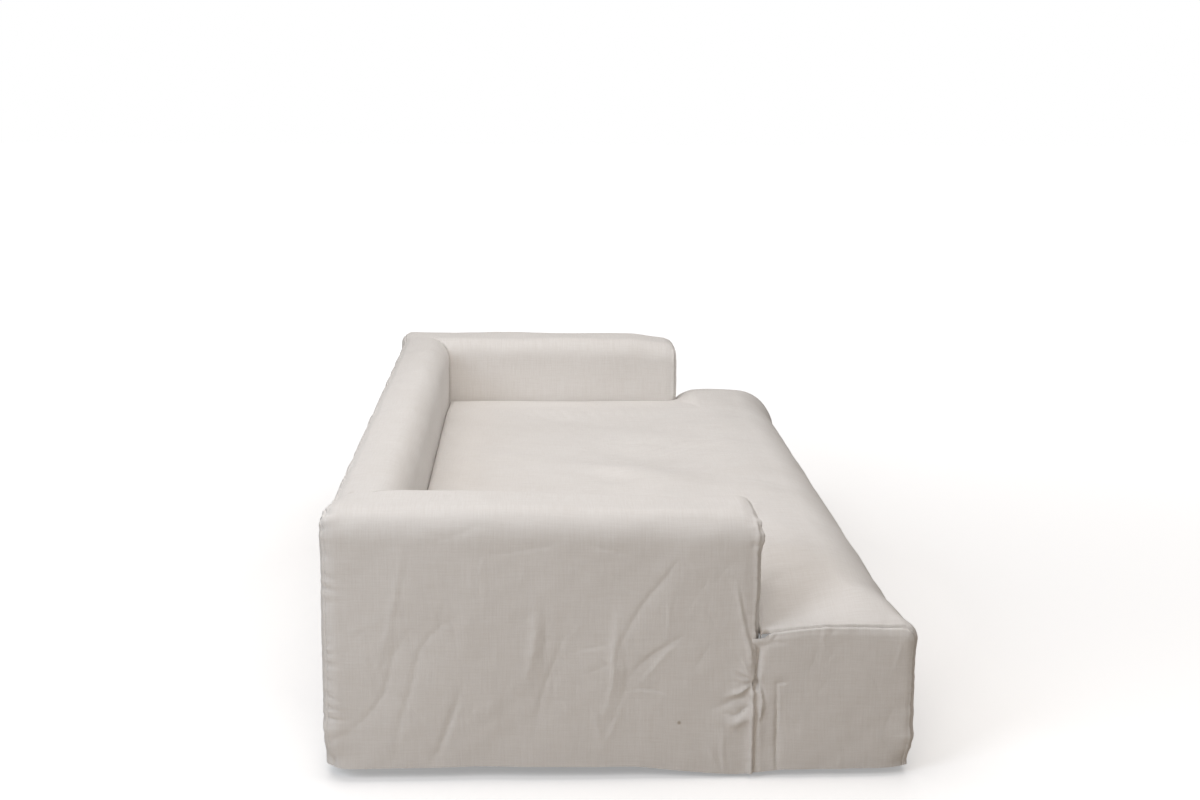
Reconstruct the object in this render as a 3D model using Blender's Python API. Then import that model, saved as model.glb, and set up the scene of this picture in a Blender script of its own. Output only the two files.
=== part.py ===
"""Fitted slipcover of a deep lounge sofa: nine pieces of linen, sewn edge to edge, as sheets of cloth.

Metres, +Z up. +X runs along the sofa, whose front faces -Y. The origin lies under the middle of the
cover, level with the lowest point of its hem. Each sheet is a surface of two parameters, laid into the
folds of the tables below and given the cloth's thickness towards the hollow inside. The right-hand
pieces mirror the left.
"""

import math

import bpy
import numpy as np

# Driving sizes
LENGTH = 2.80
DEPTH = 1.446
HEIGHT = 0.67
ARM_DEPTH = 1.048
ARM_WIDTH = 0.265
BACK_THICKNESS = 0.19
SEAT_HEIGHT = 0.458
SEAT_BY_ARM = 0.438
CLOTH = 0.002
FINEST_FOLD = 0.028
GAP = 0.0003

# Radii of the soft turns
ROLL = 0.072
EDGE = 0.045
SEAT_EDGE = 0.030
SEAT_CORNER = 0.045
SEAT_CORNER_RIGHT = 0.090
FRONT_ROLL = 0.165
FRONT_INSET = 0.018
END_ROLL = 0.20
TUCK_ROLL = 0.025
TUCK_ROLL_AT_SIDE = 0.006

# Heights and reach of the parts that tuck in
HEM = 0.020
TUCK_HEIGHT = 0.335
TUCK_DROP = 0.012
TUCK_SPACE = 0.001
GROOVE_FLOOR = 0.002

# Places that follow from them
LEFT = -LENGTH / 2
BACK = DEPTH / 2
FRONT = -DEPTH / 2
ARM_SEAM = BACK - ARM_DEPTH
INSIDE_BACK = BACK - BACK_THICKNESS
TURN = math.radians(45)
EDGE_SINK = EDGE * (1 - math.cos(TURN))
SEAT_SINK = SEAT_EDGE * (1 - math.cos(TURN))
ARM_FACE = ARM_SEAM - EDGE_SINK
BACK_SEAM = BACK - EDGE_SINK
SIDE_RISE = HEIGHT - ROLL - HEM
QUARTER = ROLL * math.pi / 2
ARM_FLAT = ARM_WIDTH - 2 * ROLL

# The arm's front edge below its panel: a groove beside the seat that closes at the pinch
GROOVE = np.array(
    [  # height, radius, turn in degrees, space to the seat's end panel
        (0.000, 0.012, 35.0, 0.0002),
        (0.200, 0.012, 35.0, 0.0002),
        (0.238, 0.014, 60.0, 0.0004),
        (0.275, 0.020, 78.0, 0.0045),
        (0.325, 0.020, 70.0, 0.0110),
        (0.372, 0.045, 45.0, 0.0132),
        (0.700, 0.045, 45.0, 0.0132),
    ]
)

# The height of the ridge seam along the ends of the seat
SEAM_LINE = np.array([(-0.723, 0.378), (-0.60, 0.382), (-0.50, 0.384), (-0.42, 0.377), (-0.33, 0.365)])

# The height of the hem round the cover: a dip where the arm's front seam comes down
HEM_LINE = np.array([(-0.715, 0.013), (-0.40, 0.012), (-0.345, 0.006), (-0.285, 0.0), (-0.20, 0.006),
                     (-0.12, 0.014), (-0.04, 0.023), (0.35, 0.027), (0.715, 0.024)])  # y, height

# Main folds: face, start (a, b), end (a, b), bow, width, rise. A side face is read as (y, z), the back and
# the front as (x, z), and the deck and the tops as (x, y). A trough has a negative rise.
FOLDS = (
    ("left side", (0.520, 0.570), (0.576, 0.265), 0.010, 0.022, -0.0045),
    ("left side", (0.563, 0.200), (0.646, 0.112), -0.012, 0.018, -0.0050),
    ("left side", (0.382, 0.405), (0.481, 0.334), 0.008, 0.020, -0.0050),
    ("left side", (0.481, 0.334), (0.520, 0.174), 0.012, 0.020, -0.0055),
    ("left side", (0.520, 0.174), (0.544, 0.048), 0.004, 0.020, -0.0050),
    ("left side", (0.379, 0.228), (0.449, 0.040), 0.010, 0.026, -0.0075),
    ("left side", (0.420, 0.240), (0.490, 0.050), 0.010, 0.024, 0.0060),
    ("left side", (0.316, 0.600), (0.420, 0.560), 0.012, 0.022, -0.0040),
    ("left side", (0.200, 0.425), (0.212, 0.250), 0.000, 0.032, 0.0060),
    ("left side", (0.150, 0.420), (0.165, 0.240), 0.000, 0.026, -0.0035),
    ("left side", (0.142, 0.323), (0.208, 0.095), 0.012, 0.020, -0.0045),
    ("left side", (-0.147, 0.545), (-0.036, 0.400), 0.008, 0.020, 0.0075),
    ("left side", (-0.036, 0.400), (0.007, 0.335), 0.000, 0.022, 0.0065),
    ("left side", (0.007, 0.335), (0.016, 0.200), -0.010, 0.030, 0.0075),
    ("left side", (-0.008, 0.200), (0.023, 0.075), 0.000, 0.022, 0.0055),
    ("left side", (-0.080, 0.440), (0.040, 0.260), 0.010, 0.024, -0.0045),
    ("left side", (-0.147, 0.352), (-0.037, 0.262), 0.006, 0.018, 0.0060),
    ("left side", (-0.147, 0.320), (-0.030, 0.214), -0.006, 0.018, -0.0050),
    ("left side", (-0.262, 0.446), (-0.316, 0.290), 0.006, 0.020, 0.0075),
    ("left side", (-0.292, 0.424), (-0.312, 0.318), 0.004, 0.014, -0.0070),
    ("left side", (-0.223, 0.140), (-0.300, 0.166), -0.010, 0.030, 0.0120),
    ("left side", (-0.215, 0.205), (-0.300, 0.222), 0.000, 0.016, -0.0050),
    ("left side", (-0.250, 0.135), (-0.252, 0.050), 0.000, 0.014, 0.0040),
    ("left side", (-0.376, 0.225), (-0.380, 0.020), 0.000, 0.014, -0.0045),
    ("left side", (-0.396, 0.225), (-0.398, 0.020), 0.000, 0.014, 0.0040),
    ("left side", (-0.580, 0.088), (-0.645, 0.046), 0.000, 0.015, 0.0055),
    ("right side", (0.560, 0.520), (0.520, 0.130), 0.015, 0.026, -0.0060),
    ("right side", (0.300, 0.460), (0.380, 0.060), -0.014, 0.026, 0.0070),
    ("right side", (0.080, 0.540), (0.010, 0.260), 0.010, 0.024, 0.0070),
    ("right side", (-0.100, 0.420), (-0.030, 0.080), 0.012, 0.026, -0.0065),
    ("right side", (-0.240, 0.470), (-0.305, 0.260), 0.006, 0.022, 0.0070),
    ("right side", (-0.230, 0.160), (-0.300, 0.150), 0.008, 0.028, 0.0100),
    ("right side", (-0.480, 0.250), (-0.520, 0.050), 0.006, 0.020, -0.0050),
    ("back", (-1.120, 0.520), (-1.060, 0.060), 0.020, 0.034, -0.0070),
    ("back", (-0.800, 0.380), (-0.720, 0.030), 0.020, 0.040, 0.0080),
    ("back", (-0.380, 0.480), (-0.450, 0.040), -0.020, 0.038, -0.0070),
    ("back", (-0.060, 0.420), (0.020, 0.030), 0.014, 0.044, 0.0080),
    ("back", (0.360, 0.500), (0.290, 0.060), 0.018, 0.036, -0.0065),
    ("back", (0.700, 0.360), (0.780, 0.040), -0.016, 0.040, 0.0080),
    ("back", (1.080, 0.540), (1.120, 0.080), 0.020, 0.034, -0.0070),
    ("front", (-1.080, 0.300), (-1.040, 0.030), 0.010, 0.040, 0.0070),
    ("front", (-0.620, 0.280), (-0.660, 0.030), 0.012, 0.044, -0.0060),
    ("front", (-0.200, 0.260), (-0.150, 0.030), 0.000, 0.046, 0.0075),
    ("front", (0.330, 0.290), (0.280, 0.030), 0.014, 0.044, -0.0060),
    ("front", (0.760, 0.270), (0.820, 0.030), 0.010, 0.042, 0.0070),
    ("front", (1.140, 0.300), (1.110, 0.040), 0.008, 0.036, -0.0050),
    ("deck", (0.320, 0.060), (0.010, -0.225), 0.030, 0.130, -0.0060),
    ("deck", (-0.020, 0.120), (-0.290, -0.290), 0.030, 0.120, 0.0050),
    ("deck", (-0.120, 0.044), (-0.290, -0.084), 0.010, 0.060, -0.0040),
    ("deck", (0.650, 0.250), (0.760, -0.300), 0.040, 0.140, -0.0050),
    ("deck", (-0.800, 0.200), (-0.880, -0.200), 0.030, 0.120, -0.0050),
)

# Slow unevenness of each face: waves over (a, b) as rise, length along a, length along b and phase
WAVES = (
    (0.0016, 0.53, 0.91, 0.4),
    (0.0014, 0.34, 0.47, 2.1),
    (0.0009, 0.21, 0.33, 4.0),
)

# Cloth colours, one for each piece
LINEN = (0.80, 0.775, 0.74)
LINEN_ROUGHNESS = 0.92


# ---------------------------------------------------------------- small helpers


def smooth(t):
    """0 below 0, 1 above 1, with a soft start and end between."""
    t = np.clip(t, 0.0, 1.0)
    return t * t * (3.0 - 2.0 * t)


def lines(*stops):
    """Grid lines through the stops (value, cells up to the next stop)."""
    runs = [np.linspace(a, b, n + 1)[:-1] for (a, n), (b, _) in zip(stops, stops[1:])]
    return np.concatenate([*runs, [stops[-1][0]]])


def unit(vectors):
    return vectors / np.maximum(np.linalg.norm(vectors, axis=-1, keepdims=True), 1e-12)


def with_normals(surface, a, b):
    """Points of surface(a, b) and its normals, d/da cross d/db."""
    step = 1e-6
    along_a = surface(a + step, b) - surface(a - step, b)
    along_b = surface(a, b + step) - surface(a, b - step)
    return surface(a, b), unit(np.cross(along_a, along_b))


def mirrored(patches):
    """The same patches on the other end of the sofa."""
    flip = np.array([-1.0, 1.0, 1.0])
    return [(points * flip, normals * flip, keep) for points, normals, keep in patches]


# ---------------------------------------------------------------- how the cloth lies


def distance_to_walls(x, y):
    """Plan distance to what the seat tucks in against: the arms' insides and fronts, and the inside back."""
    inner = LENGTH / 2 - ARM_WIDTH
    beyond = np.maximum(ARM_SEAM - EDGE_SINK / 2 - y, 0)
    arm_side = np.hypot(np.abs(x) - inner, beyond)
    arm_front = np.hypot(y - ARM_SEAM + EDGE_SINK / 2, np.maximum(inner - np.abs(x), 0))
    back = np.hypot(y - INSIDE_BACK, np.maximum(np.abs(x) - inner, 0))
    return np.minimum(np.minimum(arm_side, arm_front), back)


def distance_to_mitre(x, y):
    """Plan distance to the slanting line where the arm's and the back's rolled inner edges meet."""
    along_x = LENGTH / 2 - ARM_WIDTH - np.abs(x)
    along_y = INSIDE_BACK - y
    t = np.clip(-(along_x + along_y) / 2, 0, ROLL)
    return np.hypot(along_x + t, along_y + t)


FACES = {  # name: (axis, direction, the two coordinates it is read in, where it holds)
    "left side": (0, -1, (1, 2), lambda p: p[:, 0] < LEFT + 0.10),
    "right side": (0, 1, (1, 2), lambda p: p[:, 0] > -LEFT - 0.10),
    "arm insides": (0, 0, (1, 2), lambda p: np.abs(p[:, 0]) < -LEFT - 0.10),
    "back": (1, 1, (0, 2), lambda p: p[:, 1] > BACK - 0.10),
    "inside back": (1, -1, (0, 2), lambda p: (p[:, 1] > 0) & (p[:, 1] < BACK - 0.10)),
    "front": (1, -1, (0, 2), lambda p: p[:, 1] < FRONT + 0.10),
    "deck": (2, 1, (0, 1), lambda p: p[:, 2] < 0.50),
    "tops": (2, 1, (0, 1), lambda p: p[:, 2] >= 0.50),
}


def fold_rise(a, b, start, end, bow, width, rise):
    """A ridge or trough of this width along a bowed line, fading past its ends."""
    start, end = np.array(start), np.array(end)
    length = np.linalg.norm(end - start)
    along = (end - start) / length
    t = ((a - start[0]) * along[0] + (b - start[1]) * along[1]) / length
    off = (b - start[1]) * along[0] - (a - start[0]) * along[1]
    inside = np.clip(t, 0, 1)
    past = (t - inside) * length
    width = max(width, FINEST_FOLD)
    off = off - bow * 4 * inside * (1 - inside)
    return rise * np.exp(-(off**2 + past**2) / width**2)


def unevenness(name, a, b):
    total = np.zeros_like(a)
    turn = 1.7 * list(FACES).index(name)
    for rise, long_a, long_b, phase in WAVES:
        along_a = np.sin(2 * math.pi * a / long_a + phase + turn)
        total += rise * along_a * np.cos(2 * math.pi * b / long_b + phase)
    return total


def laid(points, normals):
    """The points moved into the folds, less near sewn edges and tucks, so that the pieces still meet."""
    shift = np.zeros(len(points))
    for name, (axis, direction, read, holds) in FACES.items():
        facing = normals[:, axis] * direction if direction else np.abs(normals[:, axis])
        weight = smooth((facing - 0.72) / 0.24) * holds(points)
        a, b = points[:, read[0]], points[:, read[1]]
        rise = unevenness(name, a, b)
        for face, *fold in FOLDS:
            if face == name:
                rise = rise + fold_rise(a, b, *fold)
        shift += weight * rise
    height = points[:, 2]
    low = smooth((0.45 - height) / 0.02)
    tuck = smooth(distance_to_walls(points[:, 0], points[:, 1]) / 0.06)
    shift *= 1 - low * (1 - tuck)
    shift *= smooth((distance_to_mitre(points[:, 0], points[:, 1]) - 0.004) / 0.05)
    edge = np.hypot(points[:, 1] - BACK_SEAM, height - HEIGHT + EDGE_SINK)
    pulled = 0.014 * smooth((-LEFT - 0.06 - np.abs(points[:, 0])) / 0.14)
    shift -= pulled * np.exp(-((edge / 0.05) ** 2))
    moved = points + normals * shift[:, None]
    drop = np.interp(points[:, 1], HEM_LINE[:, 0], HEM_LINE[:, 1]) - HEM
    moved[:, 2] += drop * (1 - smooth((height - HEM) / 0.22))
    slope = np.where(points[:, 0] < 0, 0.016, 0.006) * smooth((0.42 - points[:, 1]) / 0.65)
    slope += np.where(points[:, 0] > 0, 0.018, 0) * smooth((-0.15 - points[:, 1]) / 0.18)
    slope *= smooth((np.abs(points[:, 0]) - 0.9) / 0.2)
    moved[:, 2] -= slope * smooth((height - 0.46) / 0.16)
    return moved


# ---------------------------------------------------------------- surfaces


def arm_section(s):
    """Left arm's outline at arc length s from the hem, over the top and down the inside, with its normal."""
    first = np.clip(s - SIDE_RISE, 0, QUARTER) / ROLL
    flat = np.clip(s - SIDE_RISE - QUARTER, 0, ARM_FLAT)
    second = np.clip(s - SIDE_RISE - QUARTER - ARM_FLAT, 0, QUARTER) / ROLL
    down = np.maximum(s - SIDE_RISE - 2 * QUARTER - ARM_FLAT, 0)
    x = LEFT + ROLL * (1 - np.cos(first)) + flat + ROLL * np.sin(second)
    z = HEM + np.minimum(s, SIDE_RISE) + ROLL * np.sin(first) - ROLL * (1 - np.cos(second)) - down
    turn = first + second
    return x, z, -np.cos(turn), np.sin(turn)


def groove_at(s):
    """Radius, turn and space of the arm's front edge at arc length s."""
    height = np.where(s < SIDE_RISE, HEM + s, HEIGHT)
    return [np.interp(height, GROOVE[:, 0], GROOVE[:, k]) for k in (1, 2, 3)]


def arm_ends(s):
    """Depths at which the arm's cloth starts to turn in, at the back and at the front."""
    radius, turn, _ = groove_at(s)
    return BACK_SEAM - EDGE * math.sin(TURN), ARM_SEAM + radius * np.sin(np.radians(turn))


def arm_surface(s, q):
    """The arm's outline carried from front to back, drawn in along its normal where it turns at the ends."""
    x, z, nx, nz = arm_section(s)
    radius, _, _ = groove_at(s)
    rear, fore = arm_ends(s)
    behind = np.maximum(q - rear, 0) / EDGE
    before = np.maximum(fore - q, 0) / radius
    y = np.clip(q, fore, rear) + EDGE * np.sin(behind) - radius * np.sin(before)
    sink = EDGE * (1 - np.cos(behind)) + radius * (1 - np.cos(before))
    return np.stack([x - nx * sink, y, z - nz * sink], axis=-1)


def back_section(s):
    """Depth and height over the back, from the seam at the rear edge over the top and down the inside."""
    turn_in = EDGE * TURN
    first = TURN - np.clip(s, None, turn_in) / EDGE
    flat_length = BACK_THICKNESS - EDGE - ROLL
    flat = np.clip(s - turn_in, 0, flat_length)
    second = np.clip(s - turn_in - flat_length, 0, QUARTER) / ROLL
    down = np.maximum(s - turn_in - flat_length - QUARTER, 0)
    y = BACK - EDGE + EDGE * np.sin(first) - flat - ROLL * np.sin(second)
    z = HEIGHT - EDGE * (1 - np.cos(first)) - ROLL * (1 - np.cos(second)) - down
    return y, z


def back_surface(s, x):
    y, z = back_section(s)
    return np.stack([x, y + 0 * x, z + 0 * x], axis=-1)


def seam_height(y):
    return np.interp(y, SEAM_LINE[:, 0], SEAM_LINE[:, 1])


def seat_deck(x, y):
    """Height of the deck: lower along the arms and highest in front of them. The right end is puffed up
    to its seam. The left end has slumped next to the arm, so that it falls to its seam in an S."""
    inward = np.maximum(LENGTH / 2 - SEAT_SINK - np.abs(x), 0)
    padded = np.maximum(smooth((inward - ARM_WIDTH) / 0.30), smooth((ARM_FACE - y) / 0.07))
    top = SEAT_BY_ARM + (SEAT_HEIGHT - SEAT_BY_ARM) * padded
    slumped = smooth((inward - 0.05) / 0.36)
    firm = np.sin(math.pi / 2 * np.clip(inward / 0.36, 0, 1))
    left = slumped + (firm - slumped) * smooth((-0.45 - y) / 0.16)
    right = np.sin(math.pi / 2 * np.clip(inward / END_ROLL, 0, 1))
    crown = 0.010 * np.exp(-(((y + 0.46) / 0.11) ** 2)) * smooth((inward - 0.04) / 0.20)
    return seam_height(y) + (top - seam_height(y)) * np.where(x < 0, left, right) + crown


def front_roll(x):
    """Radius of the seat's rolled front edge, tight at the end seams, and the depth of the drop below it."""
    inward = np.maximum(LENGTH / 2 - SEAT_SINK - np.abs(x), 0)
    corner = np.where(x < 0, SEAT_CORNER, SEAT_CORNER_RIGHT)
    radius = corner + (FRONT_ROLL - corner) * smooth(inward / 0.28)
    return radius, FRONT + FRONT_INSET * smooth((inward - 0.02) / 0.30)


def seat_surface(x, q):
    """The deck carried over the front roll and down to the hem, drawn in where it turns to the end seams."""
    flat_end = LENGTH / 2 - SEAT_EDGE
    turned = np.maximum(np.abs(x) - flat_end, 0) / SEAT_EDGE
    sink = SEAT_EDGE * (1 - np.cos(turned))
    across = np.clip(x, -flat_end, flat_end) + np.sign(x) * SEAT_EDGE * np.sin(turned)
    radius, front = front_roll(across)
    start = front + radius
    roll = np.clip(start - q, 0, radius * math.pi / 2) / radius
    down = np.maximum(start - q - radius * math.pi / 2, 0)
    y = np.maximum(q, start) - radius * np.sin(roll)
    z = seat_deck(across, np.maximum(q, start)) - radius * (1 - np.cos(roll)) - down
    return np.stack([across, y + sink * np.sin(roll), z - sink * np.cos(roll)], axis=-1)


def turn_height(inset, radius, turn=TURN):
    """How far a panel stands proud of its seam line at this distance in from it, and its angle there."""
    sine = np.clip(math.sin(turn) - inset / radius, 0, 1)
    return radius * (np.sqrt(1 - sine**2) - math.cos(turn)), np.arcsin(sine)


def arch_panel(x, z, left, right, top, corner):
    """Inset from an upright panel's outline with rounded top corners, and the direction to that outline."""
    middle = (left + right) / 2
    over_x = np.abs(x - middle) - ((right - left) / 2 - corner)
    over_z = z - (top - corner)
    both = (over_x > 0) & (over_z > 0)
    reach = np.where(both, np.hypot(over_x, over_z), np.maximum(over_x, over_z))
    out_x = np.where(both, over_x / np.maximum(reach, 1e-9), over_x >= over_z) * np.sign(x - middle)
    out_z = np.where(both, over_z / np.maximum(reach, 1e-9), over_x < over_z)
    return corner - reach, out_x, out_z


def panel_points(x, z, facing, seam, outline):
    """An upright panel facing along Y: flat inside, turning to 45 degrees at its seam."""
    inset, out_x, out_z = arch_panel(x, z, *outline)
    proud, angle = turn_height(inset, EDGE)
    points = np.stack([x, seam + facing * proud, z], axis=-1)
    normals = np.stack([out_x * np.sin(angle), facing * np.cos(angle), out_z * np.sin(angle)], axis=-1)
    return points, unit(normals)


# ---------------------------------------------------------------- grid lines that neighbours share

PINCH, GROOVE_TOP = 0.238, 0.325
SIDE_HEIGHTS = lines(
    (HEM, 3), (0.165, 2), (PINCH, 2), (GROOVE_TOP, 1), (0.348, 1), (0.372, 1), (0.415, 4), (HEIGHT - ROLL, 0)
)
ARC = lines((0.0, 5), (1.0, 0))
TURN_IN = np.array([1.0, 0.5, 0.0])
BORDER = EDGE * (math.sin(TURN) - np.sin(TURN * TURN_IN))
FLAT = np.concatenate([ROLL + BORDER, [ARM_WIDTH / 2], ARM_WIDTH - ROLL - BORDER[::-1]])
HALF_GAP = GAP / 2
DECK_STEPS = np.arange(1, 7) / 6


def arm_rows():
    """Arc lengths round the arm, at the lines that its neighbours share, and the end of its flat top."""
    side = SIDE_HEIGHTS - HEM
    first = SIDE_RISE + QUARTER * ARC
    flat = SIDE_RISE + QUARTER + FLAT - ROLL
    second = flat[-1] + QUARTER * ARC
    inside = second[-1] + lines((0.0, 4), (HEIGHT - ROLL - TUCK_HEIGHT, 0))
    flat_end = len(side) + len(first) + len(flat) - 3
    return np.concatenate([side, first[1:], flat[1:], second[1:], inside[1:]]), flat_end


def arm_cover(cells):
    """Left arm wrap: rows run round the arm, columns from the back to the front edge."""
    rows, flat_end = arm_rows()
    rear, fore = arm_ends(rows)
    radius, turn, _ = groove_at(rows)
    second = np.clip((rows - rows[flat_end]) / ROLL, 0, math.pi / 2)
    shift = HALF_GAP / EDGE
    behind = [rear + EDGE * (TURN * t - shift * (t == 1)) for t in TURN_IN]
    inner = INSIDE_BACK + ROLL * (1 - np.sin(second)) - HALF_GAP * (second > 0)
    columns = [np.full(len(rows), q) for q in behind] + [inner]
    columns += [inner + (fore - inner) * k / cells for k in range(1, cells + 1)]
    columns += [fore - radius * np.radians(turn) * t + HALF_GAP * (t == 1) for t in TURN_IN[1::-1]]
    q = np.stack(columns, axis=1)
    s = np.repeat(rows[:, None], q.shape[1], axis=1)
    s[flat_end, :4] -= HALF_GAP
    points, normals = with_normals(arm_surface, s, q)
    keep = np.ones((len(rows) - 1, q.shape[1] - 1), bool)
    keep[flat_end:, : len(TURN_IN)] = False
    return [(points, normals, keep)]


def arm_front(bulge):
    """Left arm's front panel: crowned, its outline the arm's own drawn in by the turn at the seam."""
    corner = ROLL - EDGE_SINK
    outline = (LEFT + EDGE_SINK, LEFT + ARM_WIDTH - EDGE_SINK, HEIGHT - EDGE_SINK, corner)
    heights = SIDE_HEIGHTS[SIDE_HEIGHTS > TUCK_HEIGHT]
    step = HALF_GAP * math.cos(TURN)
    angle = math.pi / 2 * ARC[1:]
    edge_z = np.concatenate([heights, HEIGHT - ROLL + (corner - step) * np.sin(angle)])
    edge_in = np.concatenate([0 * heights, (corner - step) * (1 - np.cos(angle))])
    radius, turn, _ = groove_at(edge_z - HEM)
    drawn_in = np.where(edge_z < HEIGHT - ROLL, radius * (1 - np.cos(np.radians(turn))), EDGE_SINK)
    start = LEFT + np.maximum(drawn_in, EDGE_SINK) + edge_in + step
    end = LEFT + ARM_WIDTH - EDGE_SINK - edge_in - step
    first = start[:, None] + BORDER[None, :]
    last = end[:, None] - BORDER[None, ::-1]
    x = np.concatenate([first, (start + end)[:, None] / 2, last], axis=1)
    z = np.repeat(edge_z[:, None], x.shape[1], axis=1)
    points, normals = panel_points(x, z, -1, ARM_SEAM, outline)
    across = (x - (LEFT + ARM_WIDTH / 2)) / (ARM_WIDTH / 2)
    above_seat = smooth((z - SEAT_BY_ARM) / 0.06) * smooth((HEIGHT - EDGE_SINK - z) / 0.09)
    crown = bulge * np.clip(1 - across**2, 0, 1) * above_seat
    points[..., 1] -= crown
    return [(points, normals, np.ones((x.shape[0] - 1, x.shape[1] - 1), bool))]


def back_columns():
    """Lines along the sofa that the back panel and the wrap over its top share, left of the middle first."""
    left = LEFT + np.concatenate([FLAT[3:-1], [ARM_WIDTH - ROLL + HALF_GAP]])
    middle = lines((LEFT + ARM_WIDTH + 0.045, 18), (-LEFT - ARM_WIDTH - 0.045, 0))
    return left, middle


def back_panel():
    """Outer back over the full length, up to the seam along its top edge."""
    corner = ROLL - EDGE_SINK
    outline = (LEFT + EDGE_SINK, -LEFT - EDGE_SINK, HEIGHT - EDGE_SINK, corner)
    step = HALF_GAP * math.cos(TURN)
    angle = math.pi / 2 * ARC[1:]
    edge_z = np.concatenate([SIDE_HEIGHTS, HEIGHT - ROLL + (corner - step) * np.sin(angle)])
    edge_in = np.concatenate([0 * SIDE_HEIGHTS, (corner - step) * (1 - np.cos(angle))])
    left, middle = back_columns()
    border = LEFT + EDGE_SINK + step + edge_in[:, None] + BORDER[None, :]
    ones = np.ones((len(edge_z), 1))
    x = np.concatenate([border, ones * left, ones * middle, -ones * left[::-1], -border[:, ::-1]], axis=1)
    z = np.repeat(edge_z[:, None], x.shape[1], axis=1)
    points, normals = panel_points(x, z, 1, BACK_SEAM, outline)
    return [(points, normals, np.ones((x.shape[0] - 1, x.shape[1] - 1), bool))]


def back_cover():
    """Top of the back between the arms, and the inside back in one cloth with it."""
    _, middle = back_columns()
    turn_in = EDGE * TURN
    top_end = turn_in + BACK_THICKNESS - EDGE - ROLL
    rows = np.concatenate([
        turn_in * lines((0, 2), (1, 0)),
        lines((turn_in, 1), (top_end, 0))[1:],
        top_end + QUARTER * ARC[1:],
        lines((top_end + QUARTER, 3), (top_end + QUARTER + HEIGHT - ROLL - TUCK_HEIGHT, 0))[1:],
    ])
    rows[0] = HALF_GAP
    second = np.clip((rows - top_end) / ROLL, 0, math.pi / 2)
    end = LEFT + ARM_WIDTH - ROLL + ROLL * np.sin(second) + HALF_GAP
    ones = np.ones((len(rows), 1))
    x = np.concatenate([end[:, None], ones * middle, -end[:, None]], axis=1)
    s = np.repeat(rows[:, None], x.shape[1], axis=1)
    points, normals = with_normals(back_surface, s, x)
    return [(points, normals, np.ones((x.shape[0] - 1, x.shape[1] - 1), bool))]


def tuck_roll(x):
    """Radius of the deck's turn down into the tuck, tighter at the end seam."""
    inward = LENGTH / 2 - np.abs(x)
    return TUCK_ROLL_AT_SIDE + (TUCK_ROLL - TUCK_ROLL_AT_SIDE) * smooth((inward - SEAT_EDGE) / 0.12)


def wall_distance(x, y):
    """Distance from the arms and the back, as the deck sees them in plan, and the direction towards them."""
    reach_x = LENGTH / 2 - ARM_WIDTH - TUCK_SPACE
    center_x = reach_x + TUCK_SPACE + EDGE
    center_y = ARM_FACE + EDGE
    radius = EDGE + TUCK_SPACE
    ax = np.abs(x)
    side = np.sign(x)
    near_corner = (ax < center_x) & (y < center_y)
    corner = np.hypot(ax - center_x, y - center_y)
    from_corner = corner - radius
    from_side = reach_x - ax
    from_front = ARM_FACE - TUCK_SPACE - y
    beside = y >= center_y
    distance = np.where(near_corner, from_corner, np.where(beside, from_side, from_front))
    corner = np.maximum(corner, 1e-9)
    toward_x = side * np.where(near_corner, (center_x - ax) / corner, np.where(beside, 1.0, 0.0))
    toward_y = np.where(near_corner, (center_y - y) / corner, np.where(beside, 0.0, 1.0))
    from_back = INSIDE_BACK - TUCK_SPACE - y
    at_back = from_back < distance
    tie = np.abs(from_back - distance) < 1e-9
    distance = np.where(at_back, from_back, distance)
    toward_x = np.where(at_back & ~tie, 0.0, toward_x)
    toward_y = np.where(at_back | tie, 1.0, toward_y)
    return np.maximum(distance, 0), toward_x, toward_y


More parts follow.
